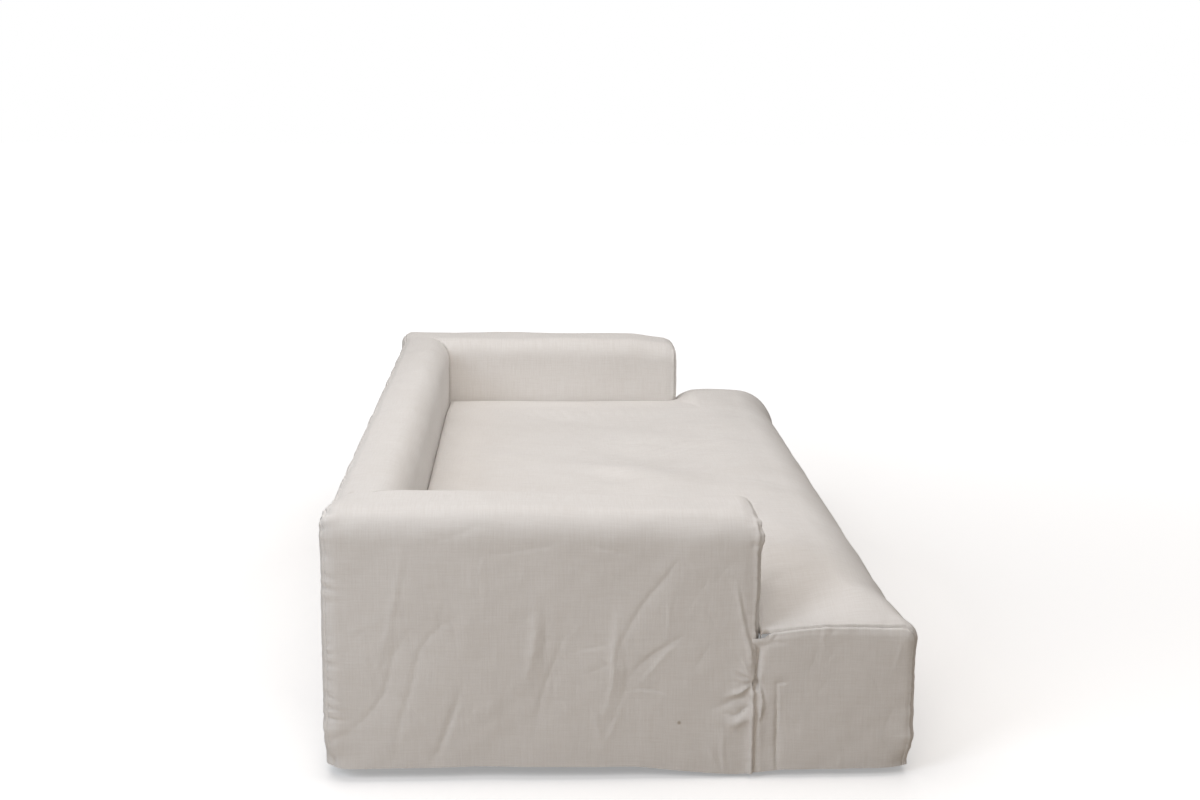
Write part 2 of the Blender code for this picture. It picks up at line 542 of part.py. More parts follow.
def seat_cover():
    """Deck, rolled front and front drop in one cloth, with the strip of its edge that is tucked in."""
    turn_x = LENGTH / 2 - SEAT_EDGE * (1 - (TURN_IN * TURN - HALF_GAP / SEAT_EDGE * (TURN_IN == 1)))
    corner_x = ARM_WIDTH - EDGE
    arc = np.radians([90.0, 67.5, 45.0])
    arm_round = EDGE + TUCK_SPACE
    curl = TUCK_ROLL * (1 - np.sin(np.radians([90.0, 45.0, 0.0])))
    tuck_lines = ARM_WIDTH + TUCK_SPACE + curl[1:]
    left = np.concatenate([
        -turn_x,
        LEFT + np.array([0.09, 0.15]),
        LEFT + corner_x + arm_round * np.cos(arc),
        LEFT + tuck_lines,
    ])
    corner_column = len(turn_x) + 2 + len(arc) - 1
    middle = lines((LEFT + 0.36, 14), (-LEFT - 0.36, 0))
    x_lines = np.concatenate([left, middle, -left[::-1]])

    corner_y = ARM_FACE + EDGE
    tuck_rows = ARM_FACE - TUCK_SPACE - curl[1:]
    deck_rows = np.concatenate([
        INSIDE_BACK - TUCK_SPACE - curl,
        lines((INSIDE_BACK - 0.09, 6), (corner_y + 0.03, 0)),
        corner_y - arm_round * np.cos(arc),
        tuck_rows,
    ])
    corner_row = len(deck_rows) - len(tuck_rows) - 1
    radius, front = front_roll(x_lines)
    start = front + radius
    deck_front = tuck_rows[-1] + (start[None, :] - tuck_rows[-1]) * DECK_STEPS[:, None]
    rolled = start[None, :] - radius[None, :] * (math.pi / 2 * np.arange(1, 5) / 4)[:, None]
    top = seat_deck(x_lines, start)
    drop_length = top - radius - HEM
    dropped = rolled[-1][None, :] - drop_length[None, :] * (np.arange(1, 6) / 5)[:, None]
    q = np.concatenate([np.repeat(deck_rows[:, None], len(x_lines), axis=1), deck_front, rolled, dropped])
    x = np.repeat(x_lines[None, :], len(q), axis=0)

    # The edge of the deck runs along the arm and round its front corner
    last = len(x_lines) - 1 - corner_column
    along_arm = slice(0, corner_row)
    bend = np.clip((corner_y - deck_rows[:corner_row]) / arm_round, 0, 1)
    edge_x = LEFT + corner_x + arm_round * np.sqrt(1 - bend**2)
    x[along_arm, corner_column] = edge_x
    x[along_arm, last] = -edge_x
    bend = np.clip((x_lines[:corner_column] - LEFT - corner_x) / arm_round, 0, 1)
    edge_y = corner_y - arm_round * np.sqrt(1 - bend**2)
    q[corner_row, :corner_column] = edge_y
    q[corner_row, last + 1:] = edge_y[::-1]

    points, normals = with_normals(seat_surface, x, q)
    flat = q > start[None, :] + 1e-9
    distance, toward_x, toward_y = wall_distance(points[..., 0], q)
    distance[corner_row, : corner_column + 1] = 0
    distance[corner_row, last:] = 0
    distance[:corner_row, corner_column] = 0
    distance[:corner_row, last] = 0
    size = tuck_roll(points[..., 0])
    sine = np.clip(1 - distance / size, 0, 1) * flat
    cosine = np.sqrt(1 - sine**2)
    points[..., 2] -= size * (1 - cosine)
    toward = np.stack([toward_x, toward_y, 0 * toward_x], axis=-1)
    normals = unit(normals * cosine[..., None] + toward * sine[..., None])

    keep = np.ones((len(q) - 1, len(x_lines) - 1), bool)
    keep[:corner_row, :corner_column] = False
    keep[:corner_row, last:] = False

    # The tucked strip hangs from the deck's edge along the arms' fronts, their insides and the back
    inset = 2
    path = [(corner_row, i) for i in range(inset, corner_column)]
    path += [(j, corner_column) for j in range(corner_row, 0, -1)]
    path += [(0, i) for i in range(corner_column, last)]
    path += [(j, last) for j in range(0, corner_row)]
    path += [(corner_row, i) for i in range(last, len(x_lines) - inset)]
    path = np.array(path)
    edge, edge_normals = points[path[:, 0], path[:, 1]], normals[path[:, 0], path[:, 1]]
    lower = edge - np.array([0, 0, TUCK_DROP])
    strip = np.stack([edge, lower], axis=0)
    strip_normals = np.stack([edge_normals, edge_normals], axis=0)
    return [
        (points, normals, keep),
        (strip, strip_normals, np.ones((1, len(path) - 1), bool)),
    ]


def seat_side(corner_radius):
    """Left end panel of the seat: below the ridge seam, from the groove at the arm to the front corner."""
    corner = corner_radius - SEAT_SINK
    step = HALF_GAP * math.cos(TURN)
    start = FRONT + corner_radius
    level = seam_height(start)
    top = level - SEAT_SINK - step
    border = SEAT_EDGE * (math.sin(TURN) - np.sin(TURN * TURN_IN))
    low = lines((HEM, 9), (top - corner, 0))
    angle = math.pi / 2 * np.arange(1, 5) / 4
    edge_z = np.concatenate([low, top - corner + corner * np.sin(angle)])
    edge_in = np.concatenate([0 * low, corner * (1 - np.cos(angle))])
    front = FRONT + SEAT_SINK + step + edge_in
    radius, turn, space = [np.interp(edge_z, GROOVE[:, 0], GROOVE[:, k]) for k in (1, 2, 3)]
    turn = np.radians(turn)
    rear = ARM_SEAM - np.maximum(space, GROOVE_FLOOR) - HALF_GAP
    fade = smooth((top - edge_z) / 0.05)
    first = front[:, None] + border[None, :]
    behind = ARM_FACE - TUCK_SPACE - TUCK_ROLL
    y = np.concatenate([
        first,
        np.repeat((behind + (start - behind) * DECK_STEPS[None, -2::-1]), len(rear), axis=0),
        (rear - radius * np.sin(turn))[:, None],
        (rear - radius * (np.sin(turn) - np.sin(turn / 2)))[:, None],
        rear[:, None],
        np.full((len(rear), 1), ARM_SEAM - GAP),
    ], axis=1)
    dip = 1.5 * TUCK_ROLL_AT_SIDE * smooth((y - ARM_FACE + 0.03) / 0.025)
    dip = dip * smooth((edge_z - top + 0.06) / 0.06)[:, None]
    lift = seam_height(np.maximum(y, start)) - level
    z = edge_z[:, None] + lift * smooth((edge_z - 0.20) / 0.10)[:, None] - dip

    def panel(y, z):
        over_y = FRONT + SEAT_SINK + corner - y
        over_z = z - (seam_height(np.maximum(y, start)) - SEAT_SINK - corner)
        both = (over_y > 0) & (over_z > 0)
        reach = np.where(both, np.hypot(over_y, over_z), np.maximum(over_y, over_z))
        proud, _ = turn_height(corner - reach, SEAT_EDGE)
        inward = np.clip(y - (rear - radius * np.sin(turn))[:, None], 0, (radius * np.sin(turn))[:, None])
        sink = radius[:, None] - np.sqrt(radius[:, None] ** 2 - inward**2)
        return np.stack([LEFT + SEAT_SINK - proud + sink * fade[:, None], y, z], axis=-1)

    points, normals = with_normals(panel, z * 0 + y, z)
    normals *= -np.sign(normals[..., :1])
    return [(points, normals, np.ones((y.shape[0] - 1, y.shape[1] - 1), bool))]


# ---------------------------------------------------------------- from surfaces to solids


def linen(name, shade):
    material = bpy.data.materials.new(name)
    material.use_nodes = True
    shader = material.node_tree.nodes["Principled BSDF"]
    shader.inputs["Base Color"].default_value = (*(value * shade for value in LINEN), 1)
    shader.inputs["Roughness"].default_value = LINEN_ROUGHNESS
    shader.inputs["Metallic"].default_value = 0.0
    return material


def sheet(name, patches, shade):
    """One closed solid from patches that share border points: both faces of the cloth and its cut edge."""
    points = np.concatenate([p.reshape(-1, 3) for p, _, _ in patches])
    normals = np.concatenate([n.reshape(-1, 3) for _, n, _ in patches])
    quads, base = [], 0
    for grid, directions, keep in patches:
        rows, columns = grid.shape[:2]
        index = base + np.arange(rows * columns).reshape(rows, columns)
        base += rows * columns
        cells = np.stack([index[:-1, :-1], index[1:, :-1], index[1:, 1:], index[:-1, 1:]], axis=-1)
        cells = cells[keep]
        a, b, c, d = (points[cells[:, k]] for k in range(4))
        facing = (np.cross(c - a, d - b) * normals[cells[:, 0]]).sum()
        quads.append(cells if facing > 0 else cells[:, ::-1])
    quads = np.concatenate(quads)
    _, first, merged = np.unique(np.round(points, 6), axis=0, return_index=True, return_inverse=True)
    merged = merged.reshape(-1)
    total = np.zeros((len(first), 3))
    np.add.at(total, merged, normals)
    quads = merged[quads]
    used, quads = np.unique(quads, return_inverse=True)
    quads = quads.reshape(-1, 4)
    rest, out = points[first][used], unit(total)[used]
    outer = laid(rest, out)
    inner = outer - out * CLOTH
    ends = np.concatenate([quads[:, [k, (k + 1) % 4]] for k in range(4)])
    key = np.sort(ends, axis=1)
    _, index, count = np.unique(key, axis=0, return_inverse=True, return_counts=True)
    border = ends[count[index.reshape(-1)] == 1]
    # Both faces of the cloth are split along the same diagonal, so that they never cross
    n = len(outer)
    split = np.concatenate([quads[:, [0, 1, 2]], quads[:, [0, 2, 3]]])
    rim = np.stack([border[:, 1], border[:, 0], border[:, 0] + n, border[:, 1] + n], axis=1)
    faces = np.concatenate([split, split[:, ::-1] + n, rim[:, [0, 1, 2]], rim[:, [0, 2, 3]]])
    mesh = bpy.data.meshes.new(name)
    mesh.from_pydata(np.concatenate([outer, inner]).tolist(), [], faces.tolist())
    mesh.materials.append(linen(name + "_linen", shade))
    mesh.shade_smooth()
    mesh.set_sharp_from_angle(angle=math.radians(50))
    piece = bpy.data.objects.new(name, mesh)
    bpy.context.scene.collection.objects.link(piece)
    return piece


def main():
    for old in list(bpy.data.objects):
        bpy.data.objects.remove(old)
    sheet("arm_cover_left", arm_cover(cells=28), 1.00)
    sheet("arm_cover_right", mirrored(arm_cover(cells=14)), 0.98)
    sheet("arm_front_left", arm_front(bulge=0.014), 0.96)
    sheet("arm_front_right", mirrored(arm_front(bulge=0.002)), 0.96)
    sheet("back_panel", back_panel(), 0.97)
    sheet("back_cover", back_cover(), 0.99)
    sheet("seat_cover", seat_cover(), 1.00)
    sheet("seat_side_left", seat_side(SEAT_CORNER), 0.97)
    sheet("seat_side_right", mirrored(seat_side(SEAT_CORNER_RIGHT)), 0.97)


main()
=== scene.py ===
"""Dressed fitted slipcover: nine pieces of washed linen, sewn edge to edge over a hollow.

Metres, +Z up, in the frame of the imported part. Each piece is a sheet of cloth on a grid of two parameters,
laid into folds, creases and puckers by numpy, and closed with an inner face and cut edges.
"""

import math

import bpy
import numpy as np
from mathutils import Matrix, Vector


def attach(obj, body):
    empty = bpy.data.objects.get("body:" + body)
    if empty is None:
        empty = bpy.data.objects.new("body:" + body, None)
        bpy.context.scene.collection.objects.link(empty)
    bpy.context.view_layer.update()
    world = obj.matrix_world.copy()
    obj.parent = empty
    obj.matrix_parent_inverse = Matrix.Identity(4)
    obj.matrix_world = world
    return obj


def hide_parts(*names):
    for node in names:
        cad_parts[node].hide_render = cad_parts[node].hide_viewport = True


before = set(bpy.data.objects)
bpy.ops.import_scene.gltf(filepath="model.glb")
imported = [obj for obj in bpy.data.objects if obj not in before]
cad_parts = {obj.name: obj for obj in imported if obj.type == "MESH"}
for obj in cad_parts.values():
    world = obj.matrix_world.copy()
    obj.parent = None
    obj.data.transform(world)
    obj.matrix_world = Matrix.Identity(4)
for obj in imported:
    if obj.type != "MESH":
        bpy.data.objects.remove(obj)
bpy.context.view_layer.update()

# Driving sizes of the cover, the cloth's thickness and the gap between two pieces along a seam
LENGTH, DEPTH, HEIGHT = 2.80, 1.446, 0.67
ARM_DEPTH, ARM_WIDTH, BACK_THICKNESS = 1.048, 0.265, 0.19
SEAT_HEIGHT, SEAT_BY_ARM = 0.458, 0.438
CLOTH, GAP = 0.002, 0.0003

# Radii of the soft turns: tops, edges that end in a seam, the seat's corners, its rolled front and its tucks
ROLL, EDGE, SEAT_EDGE = 0.072, 0.045, 0.030
SEAT_CORNER, SEAT_CORNER_RIGHT = 0.045, 0.090
FRONT_ROLL, END_ROLL = 0.165, 0.20
TUCK_ROLL, TUCK_ROLL_AT_SIDE = 0.025, 0.006

# Heights and reach of the parts that tuck in
HEM, TUCK_HEIGHT, TUCK_DROP, TUCK_SPACE, GROOVE_FLOOR = 0.020, 0.335, 0.012, 0.001, 0.002

# Places and lengths that follow from them. At a seam the cloth has turned in by 45 degrees, which sinks it
# below its face, and an upright panel's edge stops short of the seam by its share of the gap
LEFT, BACK, FRONT = -LENGTH / 2, DEPTH / 2, -DEPTH / 2
ARM_SEAM = BACK - ARM_DEPTH
INSIDE_BACK = BACK - BACK_THICKNESS
TURN = math.radians(45)
EDGE_SINK = EDGE * (1 - math.cos(TURN))
SEAT_SINK = SEAT_EDGE * (1 - math.cos(TURN))
ARM_FACE = ARM_SEAM - EDGE_SINK
BACK_SEAM = BACK - EDGE_SINK
SIDE_RISE = HEIGHT - ROLL - HEM
QUARTER = ROLL * math.pi / 2
ARM_FLAT = ARM_WIDTH - 2 * ROLL
HALF_GAP = GAP / 2
SHORT = HALF_GAP * math.cos(TURN)

# The deck: how far from the arms' insides and fronts its padding rises; where the slumped left end rises, and
# where it turns firm towards the front; and the crown in front of the arms, which starts in from the ends
PAD_RUN, PAD_FRONT_RUN = 0.30, 0.07
SLUMP_START, SLUMP_RUN, FIRM_START, FIRM_RUN = 0.05, 0.36, -0.45, 0.16
CROWN, CROWN_DEPTH, CROWN_WIDTH, CROWN_START, CROWN_RUN = 0.010, -0.46, 0.11, 0.04, 0.20

# The seat's rolled front: how far in from the end seams its radius grows, and the steps by which the drop
# below it stands back: how deep, from where, over what length
FRONT_ROLL_RUN = 0.24
FRONT_STEPS = ((0.0115, 0.0, 0.06), (-0.0050, 0.08, 0.12), (0.0115, 0.22, 0.15))

# The arm's front edge below its panel: height, radius, turn in degrees, space to the seat's end panel
GROOVE = np.array([
    (0.000, 0.012, 35.0, 0.0002),
    (0.200, 0.012, 35.0, 0.0002),
    (0.238, 0.014, 60.0, 0.0004),
    (0.275, 0.020, 78.0, 0.0045),
    (0.325, 0.020, 70.0, 0.0110),
    (0.372, 0.045, 45.0, 0.0132),
    (0.700, 0.045, 45.0, 0.0132),
])

# Height of the ridge seam along the ends of the seat, and of the hem round the cover: depth, height
SEAM_LINE = np.array([(-0.723, 0.378), (-0.60, 0.382), (-0.50, 0.384), (-0.42, 0.377), (-0.33, 0.365)])
HEM_LINE = np.array([(-0.715, 0.013), (-0.40, 0.012), (-0.345, 0.006), (-0.285, 0.0), (-0.20, 0.006),
                     (-0.12, 0.014), (-0.04, 0.023), (0.35, 0.027), (0.715, 0.024)])

# Creases of each face: the points (a, b) that one runs through, its width, and its rise, negative for a
# trough. A side and the arms' insides are read as (depth, height), the back and the front as (along, height),
# and the deck as (along, depth).
CREASES = {
    "left side": (
        (((0.389, 0.413), (0.423, 0.394), (0.452, 0.373), (0.478, 0.347), (0.494, 0.304), (0.496, 0.266),
          (0.513, 0.211), (0.533, 0.147), (0.545, 0.081), (0.552, 0.041)), 0.009, -0.0034),
        (((0.522, 0.587), (0.534, 0.512), (0.550, 0.420), (0.570, 0.336), (0.590, 0.274)), 0.009, 0.0026),
        (((0.508, 0.564), (0.523, 0.489), (0.538, 0.405), (0.554, 0.336)), 0.007, -0.0017),
        (((0.537, 0.366), (0.553, 0.289), (0.572, 0.212), (0.618, 0.152), (0.656, 0.117)), 0.008, -0.0036),
        (((0.625, 0.336), (0.608, 0.274), (0.598, 0.228)), 0.007, 0.0018),
        (((0.389, 0.216), (0.407, 0.161), (0.426, 0.104), (0.453, 0.043)), 0.012, -0.0055),
        (((0.388, 0.190), (0.410, 0.112), (0.427, 0.055)), 0.008, 0.0027),
        (((0.314, 0.659), (0.354, 0.628), (0.391, 0.613), (0.427, 0.602), (0.460, 0.617)), 0.006, -0.0029),
        (((0.322, 0.572), (0.333, 0.541), (0.342, 0.510)), 0.006, 0.0018),
        (((0.319, 0.563), (0.275, 0.566), (0.231, 0.577), (0.187, 0.582), (0.136, 0.602)), 0.006, -0.0018),
        (((0.074, 0.591), (0.041, 0.583), (0.005, 0.574), (-0.017, 0.572)), 0.006, -0.0024),
        (((0.125, 0.535), (0.100, 0.530), (0.081, 0.519)), 0.005, -0.0015),
        (((0.011, 0.502), (-0.018, 0.474), (-0.048, 0.466), (-0.077, 0.450)), 0.006, -0.0014),
        (((0.206, 0.425), (0.206, 0.364), (0.214, 0.310), (0.226, 0.259)), 0.018, 0.0076),
        (((0.184, 0.417), (0.182, 0.348), (0.188, 0.286)), 0.014, -0.0040),
        (((0.143, 0.348), (0.158, 0.301), (0.180, 0.247), (0.199, 0.176), (0.210, 0.106)), 0.008, -0.0032),
        (((0.114, 0.318), (0.070, 0.328), (0.021, 0.337)), 0.006, -0.0020),
        (((0.106, 0.258), (0.062, 0.269), (0.021, 0.291)), 0.006, -0.0015),
        (((0.011, 0.405), (0.010, 0.354), (0.021, 0.308), (0.017, 0.261), (0.026, 0.206),
          (0.035, 0.170)), 0.011, 0.0067),
        (((-0.006, 0.331), (-0.016, 0.269), (-0.011, 0.222), (0.006, 0.166)), 0.010, -0.0034),
        (((-0.135, 0.559), (-0.099, 0.494), (-0.066, 0.458), (-0.033, 0.408), (-0.006, 0.354),
          (0.008, 0.322)), 0.008, -0.0039),
        (((-0.145, 0.355), (-0.108, 0.332), (-0.071, 0.307), (-0.035, 0.276),
          (-0.024, 0.259)), 0.007, -0.0034),
        (((-0.141, 0.342), (-0.101, 0.305), (-0.072, 0.268), (-0.054, 0.245)), 0.008, 0.0036),
        (((-0.110, 0.454), (-0.115, 0.415), (-0.112, 0.361)), 0.006, 0.0022),
        (((-0.020, 0.220), (-0.057, 0.225), (-0.113, 0.212)), 0.005, -0.0023),
        (((0.067, 0.175), (0.054, 0.118), (0.045, 0.073)), 0.010, 0.0036),
        (((-0.009, 0.206), (0.009, 0.142), (0.042, 0.073)), 0.009, 0.0026),
        (((0.277, 0.232), (0.286, 0.176), (0.277, 0.144)), 0.009, -0.0018),
        (((0.334, 0.510), (0.327, 0.442), (0.330, 0.403)), 0.008, 0.0015),
        (((-0.276, 0.480), (-0.288, 0.425), (-0.300, 0.365), (-0.314, 0.300)), 0.010, 0.0060),
        (((-0.288, 0.465), (-0.299, 0.410), (-0.310, 0.345)), 0.008, -0.0058),
        (((-0.303, 0.356), (-0.313, 0.319), (-0.318, 0.285), (-0.320, 0.254)), 0.007, 0.0073),
        (((-0.312, 0.363), (-0.318, 0.326), (-0.321, 0.289)), 0.006, -0.0070),
        (((-0.290, 0.308), (-0.304, 0.276), (-0.317, 0.253)), 0.005, 0.0041),
        (((-0.287, 0.267), (-0.302, 0.257), (-0.316, 0.249)), 0.005, 0.0057),
        (((-0.285, 0.258), (-0.301, 0.250), (-0.315, 0.245)), 0.004, -0.0049),
        (((-0.277, 0.249), (-0.299, 0.241), (-0.316, 0.243)), 0.005, 0.0037),
        (((-0.266, 0.205), (-0.285, 0.212), (-0.303, 0.221), (-0.317, 0.231)), 0.007, 0.0127),
        (((-0.243, 0.181), (-0.271, 0.191), (-0.296, 0.198), (-0.315, 0.212)), 0.010, -0.0090),
        (((-0.261, 0.161), (-0.283, 0.159), (-0.300, 0.170), (-0.317, 0.186)), 0.007, -0.0122),
        (((-0.255, 0.144), (-0.287, 0.143), (-0.317, 0.158)), 0.020, 0.0127),
        (((-0.249, 0.132), (-0.248, 0.093), (-0.250, 0.055), (-0.251, 0.028)), 0.006, 0.0037),
        (((-0.239, 0.069), (-0.245, 0.048), (-0.249, 0.026)), 0.007, -0.0032),
        (((-0.211, 0.095), (-0.224, 0.068), (-0.234, 0.040)), 0.008, 0.0026),
        (((-0.330, 0.242), (-0.340, 0.219), (-0.346, 0.197), (-0.344, 0.176), (-0.336, 0.146),
          (-0.331, 0.115), (-0.331, 0.084)), 0.006, 0.0082),
        (((-0.335, 0.246), (-0.345, 0.219), (-0.351, 0.190)), 0.005, -0.0086),
        (((-0.351, 0.180), (-0.346, 0.156), (-0.341, 0.135)), 0.005, -0.0057),
        (((-0.380, 0.230), (-0.382, 0.175), (-0.382, 0.119), (-0.381, 0.069),
          (-0.385, 0.020)), 0.005, -0.0097),
        (((-0.386, 0.228), (-0.387, 0.175), (-0.387, 0.118)), 0.005, 0.0045),
        (((-0.380, 0.235), (-0.402, 0.236)), 0.004, -0.0051),
        (((-0.349, 0.352), (-0.359, 0.363)), 0.004, 0.0045),
        (((-0.363, 0.349), (-0.375, 0.366)), 0.004, 0.0057),
        (((-0.371, 0.349), (-0.383, 0.364)), 0.004, -0.0040),
        (((-0.350, 0.331), (-0.374, 0.339), (-0.400, 0.337)), 0.006, -0.0040),
        (((-0.426, 0.412), (-0.452, 0.391), (-0.476, 0.375)), 0.008, 0.0097),
        (((-0.478, 0.390), (-0.487, 0.393), (-0.495, 0.392)), 0.005, -0.0063),
    ),
    "right side": (
        (((0.560, 0.520), (0.555, 0.323), (0.520, 0.130)), 0.020, -0.0068),
        (((0.300, 0.460), (0.326, 0.257), (0.380, 0.060)), 0.020, 0.0078),
        (((0.286, 0.440), (0.305, 0.267), (0.352, 0.100)), 0.014, -0.0055),
        (((0.080, 0.540), (0.055, 0.398), (0.010, 0.260)), 0.016, 0.0072),
        (((-0.100, 0.420), (-0.053, 0.252), (-0.030, 0.080)), 0.018, -0.0068),
        (((-0.240, 0.470), (-0.267, 0.363), (-0.305, 0.260)), 0.014, 0.0078),
        (((-0.200, 0.190), (-0.264, 0.130), (-0.300, 0.060)), 0.016, 0.0042),
        (((-0.230, 0.210), (-0.270, 0.170), (-0.305, 0.110)), 0.010, -0.0034),
        (((-0.480, 0.250), (-0.494, 0.149), (-0.520, 0.050)), 0.014, -0.0065),
    ),
    "arm insides": (
        (((0.038, 0.520), (-0.001, 0.483), (-0.051, 0.462)), 0.014, -0.0016),
        (((0.330, 0.560), (0.325, 0.498), (0.300, 0.440)), 0.016, 0.0012),
    ),
    "back": (
        (((-1.120, 0.520), (-1.070, 0.293), (-1.060, 0.060)), 0.024, -0.0060),
        (((-0.800, 0.380), (-0.741, 0.209), (-0.720, 0.030)), 0.030, 0.0074),
        (((-0.380, 0.480), (-0.435, 0.263), (-0.450, 0.040)), 0.026, -0.0060),
        (((-0.060, 0.420), (-0.006, 0.228), (0.020, 0.030)), 0.032, 0.0074),
        (((0.360, 0.500), (0.343, 0.277), (0.290, 0.060)), 0.026, -0.0056),
        (((0.700, 0.360), (0.724, 0.196), (0.780, 0.040)), 0.030, 0.0074),
        (((1.080, 0.540), (1.120, 0.312), (1.120, 0.080)), 0.024, -0.0060),
    ),
    "front": (
        (((-1.080, 0.300), (-1.050, 0.166), (-1.040, 0.030)), 0.030, 0.0099),
        (((-0.620, 0.280), (-0.628, 0.153), (-0.660, 0.030)), 0.032, -0.0084),
        (((-0.200, 0.260), (-0.150, 0.030)), 0.034, 0.0103),
        (((0.330, 0.290), (0.319, 0.157), (0.280, 0.030)), 0.032, -0.0084),
        (((0.760, 0.270), (0.800, 0.152), (0.820, 0.030)), 0.032, 0.0099),
        (((1.140, 0.300), (1.133, 0.169), (1.110, 0.040)), 0.026, -0.0089),
    ),
    "deck": (
        (((0.320, 0.060), (0.185, -0.105), (0.010, -0.225)), 0.130, -0.0262),
        (((-0.020, 0.120), (-0.130, -0.101), (-0.290, -0.290)), 0.120, 0.0219),
        (((-0.120, 0.044), (-0.199, -0.028), (-0.290, -0.084)), 0.050, -0.0158),
        (((-0.160, 0.045), (-0.240, -0.023), (-0.327, -0.082)), 0.014, -0.0027),
        (((-0.260, 0.060), (-0.337, 0.005), (-0.420, -0.040)), 0.014, -0.0026),
        (((0.650, 0.250), (0.744, -0.017), (0.760, -0.300)), 0.140, -0.0219),
        (((-0.800, 0.200), (-0.811, -0.006), (-0.880, -0.200)), 0.120, -0.0219),
        (((-1.170, -0.390), (-1.146, -0.428), (-1.130, -0.470)), 0.016, -0.0036),
    ),
}

# Slow unevenness of each face: rise, length along a, length along b and phase
WAVES = ((0.0016, 0.53, 0.91, 0.4), (0.0014, 0.34, 0.47, 2.1), (0.0009, 0.21, 0.33, 4.0))

# Small creases scattered over each face: seed, how many, the field (a from, a to, b from, b to), the
# steepest slant from upright in radians, shortest and longest, thinnest and widest, highest rise
SMALL_CREASES = {
    "left side": (11, 150, (-0.70, 0.70, 0.03, 0.58), 1.0, (0.02, 0.11), (0.004, 0.009), 0.0014),
    "right side": (12, 150, (-0.70, 0.70, 0.03, 0.58), 1.0, (0.02, 0.13), (0.004, 0.010), 0.0015),
    "back": (13, 260, (-1.36, 1.36, 0.03, 0.62), 0.9, (0.03, 0.18), (0.005, 0.012), 0.0018),
    "front": (14, 150, (-1.34, 1.34, 0.03, 0.30), 0.8, (0.03, 0.13), (0.005, 0.012), 0.0016),
    "inside back": (15, 60, (-1.05, 1.05, 0.48, 0.64), 1.5, (0.03, 0.12), (0.005, 0.010), 0.0010),
    "arm insides": (16, 30, (-0.26, 0.46, 0.46, 0.60), 1.3, (0.03, 0.10), (0.005, 0.010), 0.0008),
    "deck": (17, 90, (-1.30, 1.30, -0.55, 0.46), 1.5, (0.05, 0.22), (0.010, 0.024), 0.0018),
    "tops": (18, 60, (-1.36, 1.36, -0.28, 0.70), 1.5, (0.02, 0.10), (0.004, 0.010), 0.0007),
}

# A crease: spacing of its samples; how far to each side it counts; its wander, as a share of its width and a
# length; how quickly its two sides fall off; rounding of its peak, and the width past which that grows; the
# hollow round it, as a share of its rise and a width; how its ends fade, and the share of the rise left there
CREASE_STEP, CREASE_REACH = 0.003, 4.0
WANDER, WANDER_LENGTH = 0.10, 0.043
STEEP_SIDE, EASY_SIDE = 0.65, 1.35
PEAK_ROUNDING, SOFT_WIDTH = 0.0012, 0.016
HOLLOW, HOLLOW_WIDTH = 0.22, 2.0
END_WIDTH, END_RISE = 1.8, 0.30

# A seam: spacing of its samples, how far to each side it counts, a length down the front that runs past the
# hem, and how many samples run along the back; widths of a stitched dip and of a raised ridge, and place and
# width of its lips; and the height above which a ridge fades, over what length, and by what share
SEAM_STEP, SEAM_REACH, PAST_HEM, TOP_SAMPLES = 0.004, 0.10, 0.45, 600
DIP_WIDTH, RIDGE_WIDTH, LIP_PLACE, LIP_WIDTH = 0.0026, 0.014, 0.0060, 0.0032
RIDGE_TOP, RIDGE_RUN, RIDGE_FADE = 0.635, 0.02, 0.75

# How many points at a time are measured to a seam
PART_SIZE = 4000

# A face: how deep behind its side the cloth still counts to it, and the height that parts deck and tops
FACE_REACH, DECK_BELOW = 0.10, 0.50

# Small creases: how far one bows, as a share of its length, and its lowest rise as a share of the highest
BOW, LEAST_RISE = 0.12, 0.35

# How the cloth is held: how squarely it faces a side before that side's folds start; the height below which
# it is tucked in; how near a wall folds and seams fade, on the deck and at its outer ends; how near the
# slanting corner seams folds fade; and how far the back's top is pulled in at its rear edge, between the arms
SQUARE_START, SQUARE_RUN = 0.72, 0.24
TUCK_BELOW, TUCK_RUN = 0.45, 0.02
OUTER_START, OUTER_RUN = 0.035, 0.03
FOLD_FADE, OUTER_FOLD_FADE = 0.060, 0.010
SEAM_FADE, OUTER_SEAM_FADE, HELD_EDGE = 0.030, 0.008, 0.004
MITRE_FADE = 0.05
PULL, PULL_WIDTH, PULL_START, PULL_RUN = 0.014, 0.05, 0.06, 0.14

# Softest unevenness: seed, number of waves, their lengths, rise
HAND_WAVES = (5, 14, (0.05, 0.16), 0.0005)

# What hangs: how high up the hem's rise and fall reaches; how far the left and the right arm's top slope down
# to the front, and the right one's further drop there, each with where it starts and over what length; and
# how far in and how high up the slope starts
HEM_REACH = 0.22
SLOPE_LEFT, SLOPE_RIGHT, SLOPE_START, SLOPE_RUN = 0.016, 0.006, 0.42, 0.65
RIGHT_DROP, DROP_START, DROP_RUN = 0.018, -0.15, 0.18
SLOPE_INNER, SLOPE_INNER_RUN, SLOPE_FOOT, SLOPE_FOOT_RUN = 0.9, 0.2, 0.46, 0.16

# Linen: yarns to the metre; how far they drift; the slubs and the fine yarns as grains to the metre, across
# and along; the two ends of its tone, and the colour of stains and of painted deep shade
YARNS_PER_METRE = 1050.0
DRIFT, DRIFT_GRAINS = 0.016, 5.0
UPRIGHT_SLUBS, LEVEL_SLUBS = (250.0, 11.0, 1.0), (10.0, 230.0, 1.0)
UPRIGHT_YARNS, LEVEL_YARNS = (700.0, 42.0, 1.0), (46.0, 640.0, 1.0)
IVORY_SHADE, IVORY_LIGHT = (0.757, 0.725, 0.689, 1), (0.873, 0.855, 0.831, 1)
STAIN_AND_SHADE_BROWN = (0.42, 0.35, 0.27, 1)


# ---------------------------------------------------------------- small helpers


